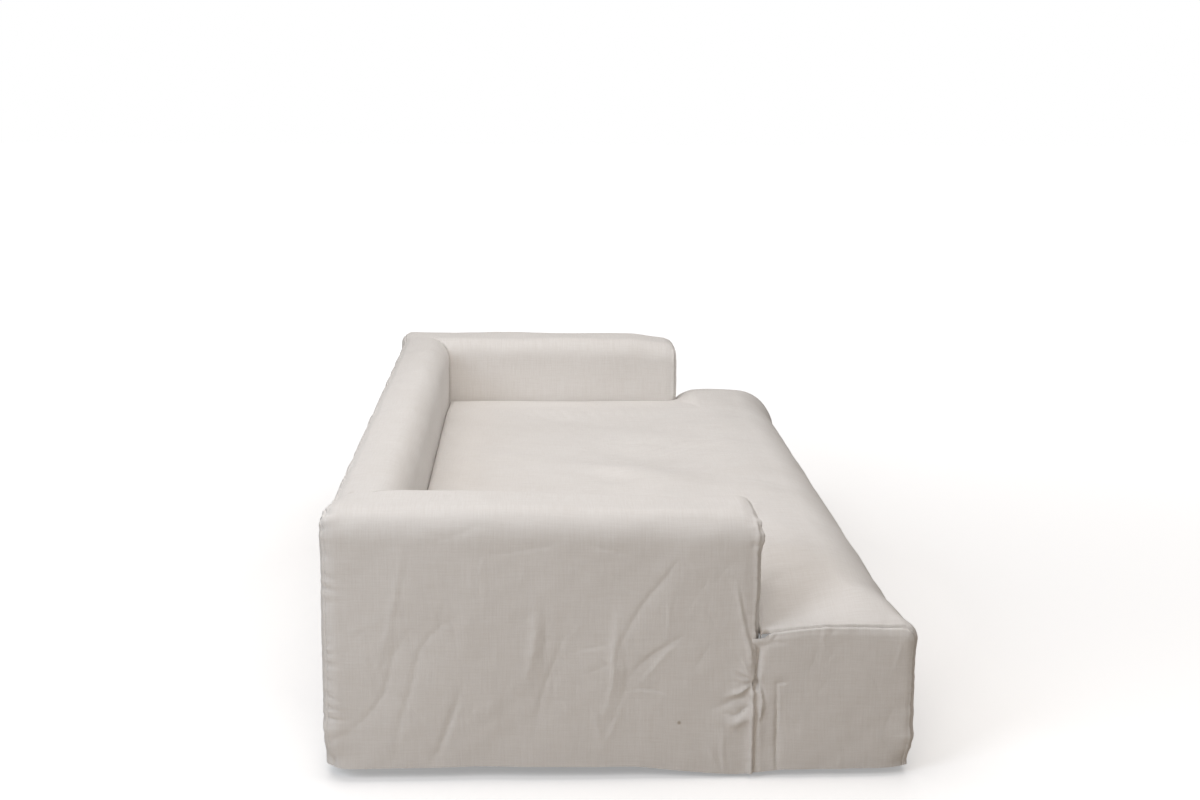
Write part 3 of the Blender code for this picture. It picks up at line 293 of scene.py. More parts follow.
def smooth(t):
    """0 below 0, 1 above 1, with a soft start and end between."""
    t = np.clip(t, 0.0, 1.0)
    return t * t * (3.0 - 2.0 * t)


def spaced(start, end, step):
    """Even grid lines from start to end, about one step apart."""
    return np.linspace(start, end, max(2, int(round(abs(end - start) / step)) + 1))


def banded(bands, end):
    """Grid lines through bands (start, step), each with its own step, up to the end."""
    stops = [start for start, _ in bands[1:]] + [end]
    runs = [spaced(start, stop, step)[:-1] for (start, step), stop in zip(bands, stops)]
    return np.concatenate([*runs, [end]])


def unit(vectors):
    """The vectors, each divided by its length."""
    return vectors / np.maximum(np.linalg.norm(vectors, axis=-1, keepdims=True), 1e-12)


def with_normals(surface, a, b):
    """Points of surface(a, b) and its normals, d/da cross d/db."""
    step = 1e-6
    along_a = surface(a + step, b) - surface(a - step, b)
    along_b = surface(a, b + step) - surface(a, b - step)
    return surface(a, b), unit(np.cross(along_a, along_b))


def mirrored(patches):
    """The same patches on the other end of the sofa."""
    flip = np.array([-1.0, 1.0, 1.0])
    return [(points * flip, normals * flip, cloth, keep) for points, normals, cloth, keep in patches]


# ---------------------------------------------------------------- sections and surfaces


def arm_section(s):
    """Left arm's outline at arc length s from the hem, over the top and down the inside, with its normal."""
    first = np.clip(s - SIDE_RISE, 0, QUARTER) / ROLL
    flat = np.clip(s - SIDE_RISE - QUARTER, 0, ARM_FLAT)
    second = np.clip(s - SIDE_RISE - QUARTER - ARM_FLAT, 0, QUARTER) / ROLL
    down = np.maximum(s - SIDE_RISE - 2 * QUARTER - ARM_FLAT, 0)
    x = LEFT + ROLL * (1 - np.cos(first)) + flat + ROLL * np.sin(second)
    z = HEM + np.minimum(s, SIDE_RISE) + ROLL * np.sin(first) - ROLL * (1 - np.cos(second)) - down
    turn = first + second
    return x, z, -np.cos(turn), np.sin(turn)


def groove_at(s):
    """Radius, turn and space of the arm's front edge at arc length s."""
    height = np.where(s < SIDE_RISE, HEM + s, HEIGHT)
    return [np.interp(height, GROOVE[:, 0], GROOVE[:, k]) for k in (1, 2, 3)]


def arm_ends(s):
    """Depths at which the arm's cloth starts to turn in, at the back and at the front."""
    radius, turn, _ = groove_at(s)
    return BACK_SEAM - EDGE * math.sin(TURN), ARM_SEAM + radius * np.sin(np.radians(turn))


def arm_surface(s, q):
    """The arm's outline carried from front to back, drawn in along its normal where it turns at the ends."""
    x, z, nx, nz = arm_section(s)
    radius, _, _ = groove_at(s)
    rear, fore = arm_ends(s)
    behind = np.maximum(q - rear, 0) / EDGE
    before = np.maximum(fore - q, 0) / radius
    y = np.clip(q, fore, rear) + EDGE * np.sin(behind) - radius * np.sin(before)
    sink = EDGE * (1 - np.cos(behind)) + radius * (1 - np.cos(before))
    return np.stack([x - nx * sink, y, z - nz * sink], axis=-1)


def back_section(s):
    """Depth and height over the back, from the seam at the rear edge over the top and down the inside."""
    turn_in = EDGE * TURN
    first = TURN - np.clip(s, None, turn_in) / EDGE
    flat_length = BACK_THICKNESS - EDGE - ROLL
    flat = np.clip(s - turn_in, 0, flat_length)
    second = np.clip(s - turn_in - flat_length, 0, QUARTER) / ROLL
    down = np.maximum(s - turn_in - flat_length - QUARTER, 0)
    y = BACK - EDGE + EDGE * np.sin(first) - flat - ROLL * np.sin(second)
    z = HEIGHT - EDGE * (1 - np.cos(first)) - ROLL * (1 - np.cos(second)) - down
    return y, z


def back_surface(s, x):
    """The back's outline carried straight from arm to arm."""
    y, z = back_section(s)
    return np.stack([x, y + 0 * x, z + 0 * x], axis=-1)


def seam_height(y):
    """Height of the ridge seam at the seat's ends, in straight runs between its given points."""
    return np.interp(y, SEAM_LINE[:, 0], SEAM_LINE[:, 1])


def seat_deck(x, y):
    """Height of the deck: lower along the arms and highest in front of them. From its end seams it rises to
    that by a quarter of a sine on the right, puffed up. The left end has slumped next to the arm, so that it
    falls to its seam in an S. A crown lies across it in front of the arms."""
    inward = np.maximum(LENGTH / 2 - SEAT_SINK - np.abs(x), 0)
    padded = np.maximum(smooth((inward - ARM_WIDTH) / PAD_RUN), smooth((ARM_FACE - y) / PAD_FRONT_RUN))
    top = SEAT_BY_ARM + (SEAT_HEIGHT - SEAT_BY_ARM) * padded
    slumped = smooth((inward - SLUMP_START) / SLUMP_RUN)
    firm = np.sin(math.pi / 2 * np.clip(inward / SLUMP_RUN, 0, 1))
    left = slumped + (firm - slumped) * smooth((FIRM_START - y) / FIRM_RUN)
    right = np.sin(math.pi / 2 * np.clip(inward / END_ROLL, 0, 1))
    crown = CROWN * np.exp(-(((y - CROWN_DEPTH) / CROWN_WIDTH) ** 2))
    crown = crown * smooth((inward - CROWN_START) / CROWN_RUN)
    return seam_height(y) + (top - seam_height(y)) * np.where(x < 0, left, right) + crown


def front_roll(x):
    """Radius of the seat's rolled front edge, tight at the end seams, and the depth of the drop below it."""
    inward = np.maximum(LENGTH / 2 - SEAT_SINK - np.abs(x), 0)
    corner = np.where(x < 0, SEAT_CORNER, SEAT_CORNER_RIGHT)
    radius = corner + (FRONT_ROLL - corner) * smooth(inward / FRONT_ROLL_RUN)
    back = sum(depth * smooth((inward - start) / run) for depth, start, run in FRONT_STEPS)
    return radius, FRONT + back


def seat_surface(x, q):
    """The deck carried over the front roll and down to the hem, drawn in where it turns to the end seams."""
    flat_end = LENGTH / 2 - SEAT_EDGE
    turned = np.maximum(np.abs(x) - flat_end, 0) / SEAT_EDGE
    sink = SEAT_EDGE * (1 - np.cos(turned))
    across = np.clip(x, -flat_end, flat_end) + np.sign(x) * SEAT_EDGE * np.sin(turned)
    radius, front = front_roll(across)
    start = front + radius
    roll = np.clip(start - q, 0, radius * math.pi / 2) / radius
    down = np.maximum(start - q - radius * math.pi / 2, 0)
    y = np.maximum(q, start) - radius * np.sin(roll)
    z = seat_deck(across, np.maximum(q, start)) - radius * (1 - np.cos(roll)) - down
    return np.stack([across, y + sink * np.sin(roll), z - sink * np.cos(roll)], axis=-1)


def turn_height(inset, radius, turn=TURN):
    """How far a panel stands proud of its seam line at this distance in from it, and its angle there."""
    sine = np.clip(math.sin(turn) - inset / radius, 0, 1)
    return radius * (np.sqrt(1 - sine**2) - math.cos(turn)), np.arcsin(sine)


def arch_panel(x, z, left, right, top, corner):
    """Inset from an upright panel's outline with rounded top corners, and the direction to that outline."""
    middle = (left + right) / 2
    over_x = np.abs(x - middle) - ((right - left) / 2 - corner)
    over_z = z - (top - corner)
    both = (over_x > 0) & (over_z > 0)
    reach = np.where(both, np.hypot(over_x, over_z), np.maximum(over_x, over_z))
    out_x = np.where(both, over_x / np.maximum(reach, 1e-9), over_x >= over_z) * np.sign(x - middle)
    out_z = np.where(both, over_z / np.maximum(reach, 1e-9), over_x < over_z)
    return corner - reach, out_x, out_z


def panel_points(x, z, facing, seam, outline):
    """An upright panel facing along Y: flat inside, turning to 45 degrees at its seam."""
    inset, out_x, out_z = arch_panel(x, z, *outline)
    proud, angle = turn_height(inset, EDGE)
    points = np.stack([x, seam + facing * proud, z], axis=-1)
    normals = np.stack([out_x * np.sin(angle), facing * np.cos(angle), out_z * np.sin(angle)], axis=-1)
    return points, unit(normals)


# ---------------------------------------------------------------- how the cloth lies


def distance_to_walls(x, y):
    """Plan distance to what the seat tucks in against: the arms' insides and fronts, and the inside back."""
    inner = LENGTH / 2 - ARM_WIDTH
    beyond = np.maximum(ARM_SEAM - EDGE_SINK / 2 - y, 0)
    arm_side = np.hypot(np.abs(x) - inner, beyond)
    arm_front = np.hypot(y - ARM_SEAM + EDGE_SINK / 2, np.maximum(inner - np.abs(x), 0))
    back = np.hypot(y - INSIDE_BACK, np.maximum(np.abs(x) - inner, 0))
    return np.minimum(np.minimum(arm_side, arm_front), back)


def distance_to_mitre(x, y):
    """Plan distance to the slanting line where the arm's and the back's rolled inner edges meet."""
    along_x = LENGTH / 2 - ARM_WIDTH - np.abs(x)
    along_y = INSIDE_BACK - y
    t = np.clip(-(along_x + along_y) / 2, 0, ROLL)
    return np.hypot(along_x + t, along_y + t)


FACES = {  # name: (axis, direction, the two coordinates it is read in, where it holds)
    "left side": (0, -1, (1, 2), lambda p: p[:, 0] < LEFT + FACE_REACH),
    "right side": (0, 1, (1, 2), lambda p: p[:, 0] > -LEFT - FACE_REACH),
    "arm insides": (0, 0, (1, 2), lambda p: np.abs(p[:, 0]) < -LEFT - FACE_REACH),
    "back": (1, 1, (0, 2), lambda p: p[:, 1] > BACK - FACE_REACH),
    "inside back": (1, -1, (0, 2), lambda p: (p[:, 1] > 0) & (p[:, 1] < BACK - FACE_REACH)),
    "front": (1, -1, (0, 2), lambda p: p[:, 1] < FRONT + FACE_REACH),
    "deck": (2, 1, (0, 1), lambda p: p[:, 2] < DECK_BELOW),
    "tops": (2, 1, (0, 1), lambda p: p[:, 2] >= DECK_BELOW),
}


def crease(a, b, path, width, rise):
    """A crease along a smoothed line through the path's points. Across it lies a rounded peak that falls off
    twice as quickly on its left as on its right, exponentially, less a wider and shallower bell. It thins out
    towards its ends by a sine and wanders a little from side to side."""
    path = np.array(path)
    run = np.concatenate([[0], np.cumsum(np.hypot(*np.diff(path, axis=0).T))])
    count = int(run[-1] / CREASE_STEP) + 5
    spread = max(1, count // 8)
    line = np.stack([np.interp(np.linspace(0, run[-1], count), run, path[:, k]) for k in (0, 1)])
    line = np.pad(line, ((0, 0), (spread, spread)), mode="reflect", reflect_type="odd")
    window = np.ones(2 * spread + 1) / (2 * spread + 1)
    line = np.stack([np.convolve(row, window, "valid") for row in line])
    tangent = unit(np.gradient(line, axis=1).T)
    reach = CREASE_REACH * width
    low, high = line.min(axis=1) - reach, line.max(axis=1) + reach
    near = np.flatnonzero((a > low[0]) & (a < high[0]) & (b > low[1]) & (b < high[1]))
    gap_a, gap_b = a[near, None] - line[0], b[near, None] - line[1]
    best = (gap_a**2 + gap_b**2).argmin(axis=1)
    gap_a, gap_b = gap_a[np.arange(len(near)), best], gap_b[np.arange(len(near)), best]
    off = tangent[best, 0] * gap_b - tangent[best, 1] * gap_a
    ahead = tangent[best, 0] * gap_a + tangent[best, 1] * gap_b
    at_end = (best == 0) | (best == count - 1)
    share = np.clip((best + np.where(at_end, 0, ahead / CREASE_STEP)) / (count - 1), 0, 1)
    off += WANDER * width * np.sin(2 * math.pi * share * run[-1] / WANDER_LENGTH + 90 * path[0, 0])
    steep = np.where(off > 0, STEEP_SIDE, EASY_SIDE) * width
    rounding = PEAK_ROUNDING + max(0.0, width - SOFT_WIDTH)
    peak = np.exp(-(np.sqrt(off**2 + rounding**2) - rounding) / steep)
    peak = peak - HOLLOW * np.exp(-((off / (HOLLOW_WIDTH * width)) ** 2))
    ends = END_RISE + (1 - END_RISE) * np.sin(math.pi * share)
    ends = ends * np.exp(-((ahead * at_end / (END_WIDTH * width)) ** 2))
    total = np.zeros_like(a)
    total[near] = rise * peak * ends * smooth((reach - np.abs(off)) / width)
    return total


def scattered_creases(face, a, b):
    """Short seeded creases of one face, each along a slightly bowed line."""
    seed, count, (a0, a1, b0, b1), slant, lengths, widths, most = SMALL_CREASES[face]
    rng = np.random.default_rng(seed)
    total = np.zeros_like(a)
    for _ in range(count):
        start = np.array([rng.uniform(a0, a1), rng.uniform(b0, b1)])
        angle = rng.normal(0, slant / 1.8)
        length = rng.uniform(*lengths)
        step = length * np.array([math.sin(angle), -math.cos(angle)])
        bow = rng.uniform(-BOW, BOW) * np.array([-step[1], step[0]])
        rise = most * rng.uniform(LEAST_RISE, 1.0) * rng.choice([-1.0, 1.0])
        total += crease(a, b, (start, start + step / 2 + bow, start + step), rng.uniform(*widths), rise)
    return total


def unevenness(name, a, b):
    """Slow unevenness of one face: a sum of products of a sine along a and a cosine along b."""
    total = np.zeros_like(a)
    turn = 1.7 * list(FACES).index(name)
    for rise, long_a, long_b, phase in WAVES:
        along_a = np.sin(2 * math.pi * a / long_a + phase + turn)
        total += rise * along_a * np.cos(2 * math.pi * b / long_b + phase)
    return total


def hand_waves(points, seed, count, lengths, rise):
    """Small soft unevenness in space: a sum of seeded plane waves of these lengths."""
    rng = np.random.default_rng(seed)
    total = np.zeros(len(points))
    for _ in range(count):
        direction = unit(rng.normal(size=3))
        length = rng.uniform(*lengths)
        total += np.sin(points @ direction * (2 * math.pi / length) + rng.uniform(0, 2 * math.pi))
    return total * rise / math.sqrt(count)


def nearest_on(line, points, reach):
    """Distance of each point to a line of closely set samples, and the length along the line there. Points
    are taken in parts, to save memory, and those out of reach are left 1 m away."""
    run = np.concatenate([[0], np.cumsum(np.linalg.norm(np.diff(line, axis=0), axis=1))])
    distance, along = np.full(len(points), 1.0), np.zeros(len(points))
    low, high = line.min(axis=0) - reach, line.max(axis=0) + reach
    near = np.flatnonzero(((points > low) & (points < high)).all(axis=1))
    for part in np.array_split(near, max(1, len(near) // PART_SIZE)):
        gaps = points[part, None, :] - line[None, :, :]
        squared = (gaps**2).sum(axis=2)
        best = squared.argmin(axis=1)
        span = np.gradient(line, axis=0)[best]
        back = (gaps[np.arange(len(part)), best] * span).sum(axis=1) / (span**2).sum(axis=1)
        back = np.clip(back, -0.5, 0.5)
        off = gaps[np.arange(len(part)), best] - span * back[:, None]
        distance[part] = np.linalg.norm(off, axis=1)
        along[part] = run[best] + back * np.gradient(run)[best]
    return distance, along


def seam_lines():
    """The sewn lines as sampled points: name -> (line, pucker spacing, rise and reach, depth of the stitched
    dip or, where it is negative, height of the raised ridge, height of the lips)."""
    over_top = SIDE_RISE + QUARTER + ARM_FLAT
    s = spaced(0.0, over_top + QUARTER + HEIGHT - ROLL - SEAT_BY_ARM, SEAM_STEP)
    radius, turn, _ = groove_at(s)
    front = arm_surface(s, arm_ends(s)[1] - radius * np.radians(turn))
    s = spaced(0.0, over_top + QUARTER - 0.9 * ROLL, SEAM_STEP)
    s = s[s <= over_top]
    rear = arm_surface(s, arm_ends(s)[0] + EDGE * TURN)
    corner = LEFT + ARM_WIDTH - ROLL
    top = back_surface(np.zeros(TOP_SAMPLES), np.linspace(corner, -corner, TOP_SAMPLES))
    end = LENGTH / 2 - SEAT_EDGE * (1 - TURN)
    q = spaced(ARM_SEAM, FRONT + SEAT_CORNER - PAST_HEM, SEAM_STEP)
    left_end = seat_surface(np.full(len(q), -end), q)
    right_end = seat_surface(np.full(len(q), end), q)
    angle = np.linspace(0, math.pi / 2, 24)
    down = np.linspace(HEIGHT - ROLL, SEAT_BY_ARM, 30)[1:]
    mitre = np.stack([
        np.concatenate([corner + ROLL * np.sin(angle), np.full(len(down), LEFT + ARM_WIDTH)]),
        np.concatenate([INSIDE_BACK + ROLL - ROLL * np.sin(angle), np.full(len(down), INSIDE_BACK)]),
        np.concatenate([HEIGHT - ROLL + ROLL * np.cos(angle), down]),
    ], axis=1)
    other = np.array([-1.0, 1.0, 1.0])
    return {
        "arm front": (front, 0.023, 0.0026, 0.016, -0.0080, 0.0028),
        "arm front right": (front * other, 0.024, 0.0026, 0.016, -0.0070, 0.0028),
        "arm rear": (rear, 0.036, 0.0075, 0.022, 0.0022, 0.0010),
        "arm rear right": (rear * other, 0.034, 0.0065, 0.022, 0.0022, 0.0010),
        "back top": (top, 0.034, 0.0055, 0.022, 0.0022, 0.0012),
        "seat end": (left_end[left_end[:, 2] > HEM], 0.031, 0.0036, 0.016, 0.0014, 0.0018),
        "seat end right": (right_end[right_end[:, 2] > HEM], 0.030, 0.0034, 0.016, 0.0014, 0.0018),
        "mitre": (mitre, 0.026, 0.0014, 0.020, 0.0022, 0.0008),
        "mitre right": (mitre * other, 0.027, 0.0014, 0.020, 0.0022, 0.0008),
    }


def seam_shape(points):
    """Lift of the cloth round its seams. On the line lies a bell, stitched down as a dip or raised as a
    ridge, and beside it a turned lip. Across it run puckers, each the size of a sine between two pinched
    stitches, uneven along the line and dying away from it exponentially. A ridge fades near the arm's top."""
    total = np.zeros(len(points))
    for seed, (line, spacing, rise, reach, dip, lip) in enumerate(SEAMS.values()):
        distance, along = nearest_on(line, points, SEAM_REACH)
        near = distance < SEAM_REACH
        d, count = distance[near], along[near] / spacing
        full = RIDGE_WIDTH if dip < 0 else DIP_WIDTH
        sewn = -dip * np.exp(-((d / full) ** 2)) + lip * np.exp(-(((d - LIP_PLACE) / LIP_WIDTH) ** 2))
        if dip < 0:
            sewn *= 1 - RIDGE_FADE * smooth((points[near, 2] - RIDGE_TOP) / RIDGE_RUN)

        # Slow waves along the seam, their lengths counted in puckers, keep the puckers uneven
        phase = count + 0.55 * np.sin(count / 1.9 + seed) + 0.30 * np.sin(count / 0.7)
        strength = 0.60 + 0.40 * np.sin(count / 2.3 + 1.7 * seed) * np.sin(count / 1.1 + seed)
        lean = 0.25 * np.sin(count / 1.4 + 2.0 * seed) * d / 0.02
        round_between = np.abs(np.sin(math.pi * (phase + lean))) - 0.62
        small = 0.30 * np.abs(np.sin(math.pi * (2.6 * phase + 0.3))) - 0.19
        fade = np.exp(-((d / (reach * (0.6 + 0.7 * strength))) ** 1.4)) * (0.45 + 0.55 * smooth(d / 0.004))
        total[near] += sewn + rise * strength * (round_between + small) * fade
    return total


# Bumps and pinched hollows: centre, radius, rise along the cloth's own normal
TUFTS = (
    ((-1.388, -0.700, 0.352), 0.030, 0.0070),
    ((-1.374, -0.336, 0.610), 0.022, 0.0120),
    ((-1.378, -0.334, 0.634), 0.008, -0.0150),
    ((-1.362, -0.333, 0.648), 0.012, 0.0060),
    ((-1.394, -0.320, 0.598), 0.007, -0.0060),
    ((-1.390, -0.316, 0.640), 0.010, 0.0030),
    ((-1.393, -0.322, 0.232), 0.014, -0.0140),
    ((-1.393, -0.318, 0.262), 0.012, -0.0040),
    ((-1.400, -0.312, 0.196), 0.009, -0.0050),
    ((-1.390, -0.708, 0.030), 0.030, -0.0160),
    ((-1.390, 0.716, 0.030), 0.034, -0.0180),
    ((-1.390, -0.700, 0.100), 0.026, 0.0045),
    ((-1.392, 0.706, 0.105), 0.028, 0.0050),
    ((1.385, 0.700, 0.640), 0.028, 0.0060),
    ((-1.385, 0.704, 0.640), 0.022, 0.0080),
    ((-1.350, 0.704, 0.655), 0.013, -0.0060),
    ((1.388, -0.700, 0.352), 0.030, 0.0050),
)


def face_folds(points, normals):
    """Lift from each face's own unevenness and creases, where the cloth looks squarely enough that way."""
    shift = np.zeros(len(points))
    for name, (axis, direction, read, holds) in FACES.items():
        facing = normals[:, axis] * direction if direction else np.abs(normals[:, axis])
        weight = smooth((facing - SQUARE_START) / SQUARE_RUN) * holds(points)
        on = np.flatnonzero(weight > 0)
        if not len(on):
            continue
        a, b = points[on, read[0]], points[on, read[1]]
        rise = unevenness(name, a, b) + scattered_creases(name, a, b)
        for path, width, height in CREASES.get(name, ()):
            rise = rise + crease(a, b, path, width, height)
        shift[on] += weight[on] * rise
    return shift


def hanging(points):
    """How far the cloth hangs down from its rest place: by the hem's line at the hem, dying away above it,
    and by the slope of the arms' tops, which grows towards the front and dies away below them."""
    x, y, height = points[:, 0], points[:, 1], points[:, 2]
    hem = (HEM - np.interp(y, HEM_LINE[:, 0], HEM_LINE[:, 1])) * (1 - smooth((height - HEM) / HEM_REACH))
    slope = np.where(x < 0, SLOPE_LEFT, SLOPE_RIGHT) * smooth((SLOPE_START - y) / SLOPE_RUN)
    slope += np.where(x > 0, RIGHT_DROP, 0) * smooth((DROP_START - y) / DROP_RUN)
    slope *= smooth((np.abs(x) - SLOPE_INNER) / SLOPE_INNER_RUN)
    return hem + slope * smooth((height - SLOPE_FOOT) / SLOPE_FOOT_RUN)


def laid(points, normals):
    """The points moved along their normals into the folds, less near sewn edges and tucks, so that the pieces
    still meet, and then down to where the cloth hangs."""
    x, y, height = np.abs(points[:, 0]), points[:, 1], points[:, 2]
    low = smooth((TUCK_BELOW - height) / TUCK_RUN)
    wall = distance_to_walls(points[:, 0], y)
    outside = smooth((x + LEFT + OUTER_START) / OUTER_RUN)
    fold_fade = FOLD_FADE - (FOLD_FADE - OUTER_FOLD_FADE) * outside
    seam_fade = SEAM_FADE - (SEAM_FADE - OUTER_SEAM_FADE) * outside
    shift = face_folds(points, normals) * (1 - low * (1 - smooth(wall / fold_fade)))
    shift *= smooth((distance_to_mitre(points[:, 0], y) - HELD_EDGE) / MITRE_FADE)
    edge = np.hypot(y - BACK_SEAM, height - HEIGHT + EDGE_SINK)
    shift -= PULL * smooth((-LEFT - PULL_START - x) / PULL_RUN) * np.exp(-((edge / PULL_WIDTH) ** 2))
    open_cloth = 1 - low * (1 - smooth((wall - HELD_EDGE) / seam_fade))
    shift += hand_waves(points, *HAND_WAVES) * open_cloth
    shift += seam_shape(points) * open_cloth
    for centre, radius, rise in TUFTS:
        held = open_cloth if rise > 0 else 1.0
        shift += rise * held * np.exp(-((points - np.array(centre)) ** 2).sum(axis=1) / radius**2)
    moved = points + normals * shift[:, None]
    moved[:, 2] -= hanging(points)
    return moved


# ---------------------------------------------------------------- the pieces as grids

# Heights at which the cloth pinches into the groove, comes out of it and lies flat again
PINCH, GROOVE_TOP, GROOVE_END = 0.238, 0.325, 0.372

# Spacing of the grid lines: on the arm's top, up its side, up the seat's end and up the outer back; down an
# arm's inside and down the inside back; on the deck out at its ends, along it and from back to front
STEP, SIDE_STEP, FINE_STEP, WIDE_STEP = 0.0062, 0.0050, 0.0034, 0.0098
INSIDE_STEP, INSIDE_BACK_STEP = 0.0120, 0.0088
END_STEP, DECK_STEP, DECK_ROW_STEP = 0.0090, 0.0122, 0.0132

# Counts of grid lines: along the left and the right arm; across an arm's front, the outer back and the back's
# top; on the deck in front of the arms, round its front and down it; along the seat's end and in its groove;
# and round the corners of the deck at the arms, of the tuck and of the seat's end
ARM_COLUMNS, ARM_COLUMNS_RIGHT = 196, 140
PANEL_COLUMNS, BACK_COLUMNS, BACK_TOP_COLUMNS = 36, 280, 256
DECK_FRONT_ROWS, ROLL_ROWS, DROP_ROWS = 46, 25, 28
END_COLUMNS, GROOVE_COLUMNS = 96, 8
ARM_CORNER_LINES, TUCK_LINES, END_CORNER_LINES = 7, 8, 14

# How much closer together the grid lines lie near the arm's front edge, and near the ends of the back's top;
# and the turn between two faces of cloth from which their edge is drawn sharp
ARM_BUNCHING, BACK_BUNCHING = 1.22, 1.08
SHARP_TURN = math.radians(65)

# Rows up an arm's side, closest together at the pinch
SIDE_HEIGHTS = banded([
    (HEM, SIDE_STEP), (0.125, 0.0034), (PINCH, 0.0038), (GROOVE_TOP, 0.0040), (GROOVE_END, SIDE_STEP),
    (0.415, SIDE_STEP),
], HEIGHT - ROLL)

# Shares of a soft turn at which its grid lines lie, and how far in from a panel's edge they do
ARC = np.linspace(0, 1, 17)
TURN_IN = np.array([1.0, 0.96, 0.91, 0.85, 0.78, 0.70, 0.61, 0.51, 0.40, 0.27, 0.14, 0.0])
BORDER = EDGE * (math.sin(TURN) - np.sin(TURN * TURN_IN))


def grid_keep(points):
    """A mark for each cell of the grid, all kept. A function that cuts some out sets them to False."""
    return np.ones((points.shape[0] - 1, points.shape[1] - 1), bool)


def bunched(share, power):
    """Shares of a length that lie closer together towards its end."""
    return 1 - (1 - share) ** power


def arched_edge(heights):
    """Heights along an upright panel's side edge and round its top corner, and how far that draws it in."""
    corner = ROLL - EDGE_SINK - SHORT
    angle = math.pi / 2 * ARC[1:]
    edge_z = np.concatenate([heights, HEIGHT - ROLL + corner * np.sin(angle)])
    return edge_z, np.concatenate([0 * heights, corner * (1 - np.cos(angle))])


def arm_cloth(columns_along):
    """Left arm wrap: rows run round the arm, columns from the back to the front edge."""
    side = SIDE_HEIGHTS - HEM
    first = SIDE_RISE + QUARTER * ARC
    flat = SIDE_RISE + QUARTER + spaced(0, ARM_FLAT, STEP)
    second = flat[-1] + QUARTER * ARC
    inside = second[-1] + spaced(0, HEIGHT - ROLL - TUCK_HEIGHT, INSIDE_STEP)
    flat_end = len(side) + len(first) + len(flat) - 3
    rows = np.concatenate([side, first[1:], flat[1:], second[1:], inside[1:]])
    rear, fore = arm_ends(rows)
    radius, turn, _ = groove_at(rows)
    over = np.clip((rows - rows[flat_end]) / ROLL, 0, math.pi / 2)
    shift = HALF_GAP / EDGE
    inner = INSIDE_BACK + ROLL * (1 - np.sin(over)) - HALF_GAP * (over > 0)
    columns = [rear + EDGE * (TURN * t - shift * (t == 1)) for t in TURN_IN]
    columns += [rear + (inner - rear) * t for t in spaced(0, 1, STEP / (BACK_THICKNESS - EDGE - ROLL))[1:]]
    behind = len(columns) - 1
    columns += [inner + (fore - inner) * bunched(t, ARM_BUNCHING)
                for t in np.linspace(0, 1, columns_along)[1:]]
    columns += [fore - radius * np.radians(turn) * t + HALF_GAP * (t == 1) for t in TURN_IN[-2::-1]]
    q = np.stack([np.broadcast_to(column, rows.shape) for column in columns], axis=1)
    s = np.repeat(rows[:, None], q.shape[1], axis=1)
    s[flat_end, :behind + 1] -= HALF_GAP
    points, normals = with_normals(arm_surface, s, q)
    keep = grid_keep(points)
    keep[flat_end:, :behind] = False
    return [(points, normals, np.stack([q, s], axis=-1), keep)]


# How far the left and the right arm's front panel bulges, hollow where it is negative
BULGE_LEFT, BULGE_RIGHT = -0.003, 0.002


def arm_front_cloth(bulge):
    """Left arm's front panel: its outline is the arm's own, drawn in by the turn at the seam, and it bulges
    above the seat by a parabola across it."""
    outline = (LEFT + EDGE_SINK, LEFT + ARM_WIDTH - EDGE_SINK, HEIGHT - EDGE_SINK, ROLL - EDGE_SINK)
    edge_z, edge_in = arched_edge(SIDE_HEIGHTS[SIDE_HEIGHTS > TUCK_HEIGHT])
    radius, turn, _ = groove_at(edge_z - HEM)
    drawn_in = np.where(edge_z < HEIGHT - ROLL, radius * (1 - np.cos(np.radians(turn))), EDGE_SINK)
    start = LEFT + np.maximum(drawn_in, EDGE_SINK) + edge_in + SHORT
    end = LEFT + ARM_WIDTH - EDGE_SINK - edge_in - SHORT
    first = start[:, None] + BORDER[None, :]
    last = end[:, None] - BORDER[None, ::-1]
    share = np.linspace(0, 1, PANEL_COLUMNS)[None, 1:-1]
    between = first[:, -1:] + (last[:, :1] - first[:, -1:]) * share
    x = np.concatenate([first, between, last], axis=1)
    z = np.repeat(edge_z[:, None], x.shape[1], axis=1)
    points, normals = panel_points(x, z, -1, ARM_SEAM, outline)
    across = (x - (LEFT + ARM_WIDTH / 2)) / (ARM_WIDTH / 2)
    above_seat = smooth((z - SEAT_BY_ARM) / 0.06) * smooth((HEIGHT - EDGE_SINK - z) / 0.09)
    points[..., 1] -= bulge * np.clip(1 - across**2, 0, 1) * above_seat
    return [(points, normals, np.stack([x, z], axis=-1), grid_keep(points))]


def back_panel_cloth():
    """Outer back over the full length, up to the seam along its top edge."""
    outline = (LEFT + EDGE_SINK, -LEFT - EDGE_SINK, HEIGHT - EDGE_SINK, ROLL - EDGE_SINK)
    edge_z, edge_in = arched_edge(spaced(HEM, HEIGHT - ROLL, WIDE_STEP))
    border = LEFT + EDGE_SINK + SHORT + edge_in[:, None] + BORDER[None, :]
    share = np.linspace(0, 1, BACK_COLUMNS)[None, 1:-1]
    between = border[:, -1:] * (1 - 2 * share)
    x = np.concatenate([border, between, -border[:, ::-1]], axis=1)
    z = np.repeat(edge_z[:, None], x.shape[1], axis=1)
    points, normals = panel_points(x, z, 1, BACK_SEAM, outline)
    return [(points, normals, np.stack([x, z], axis=-1), grid_keep(points))]


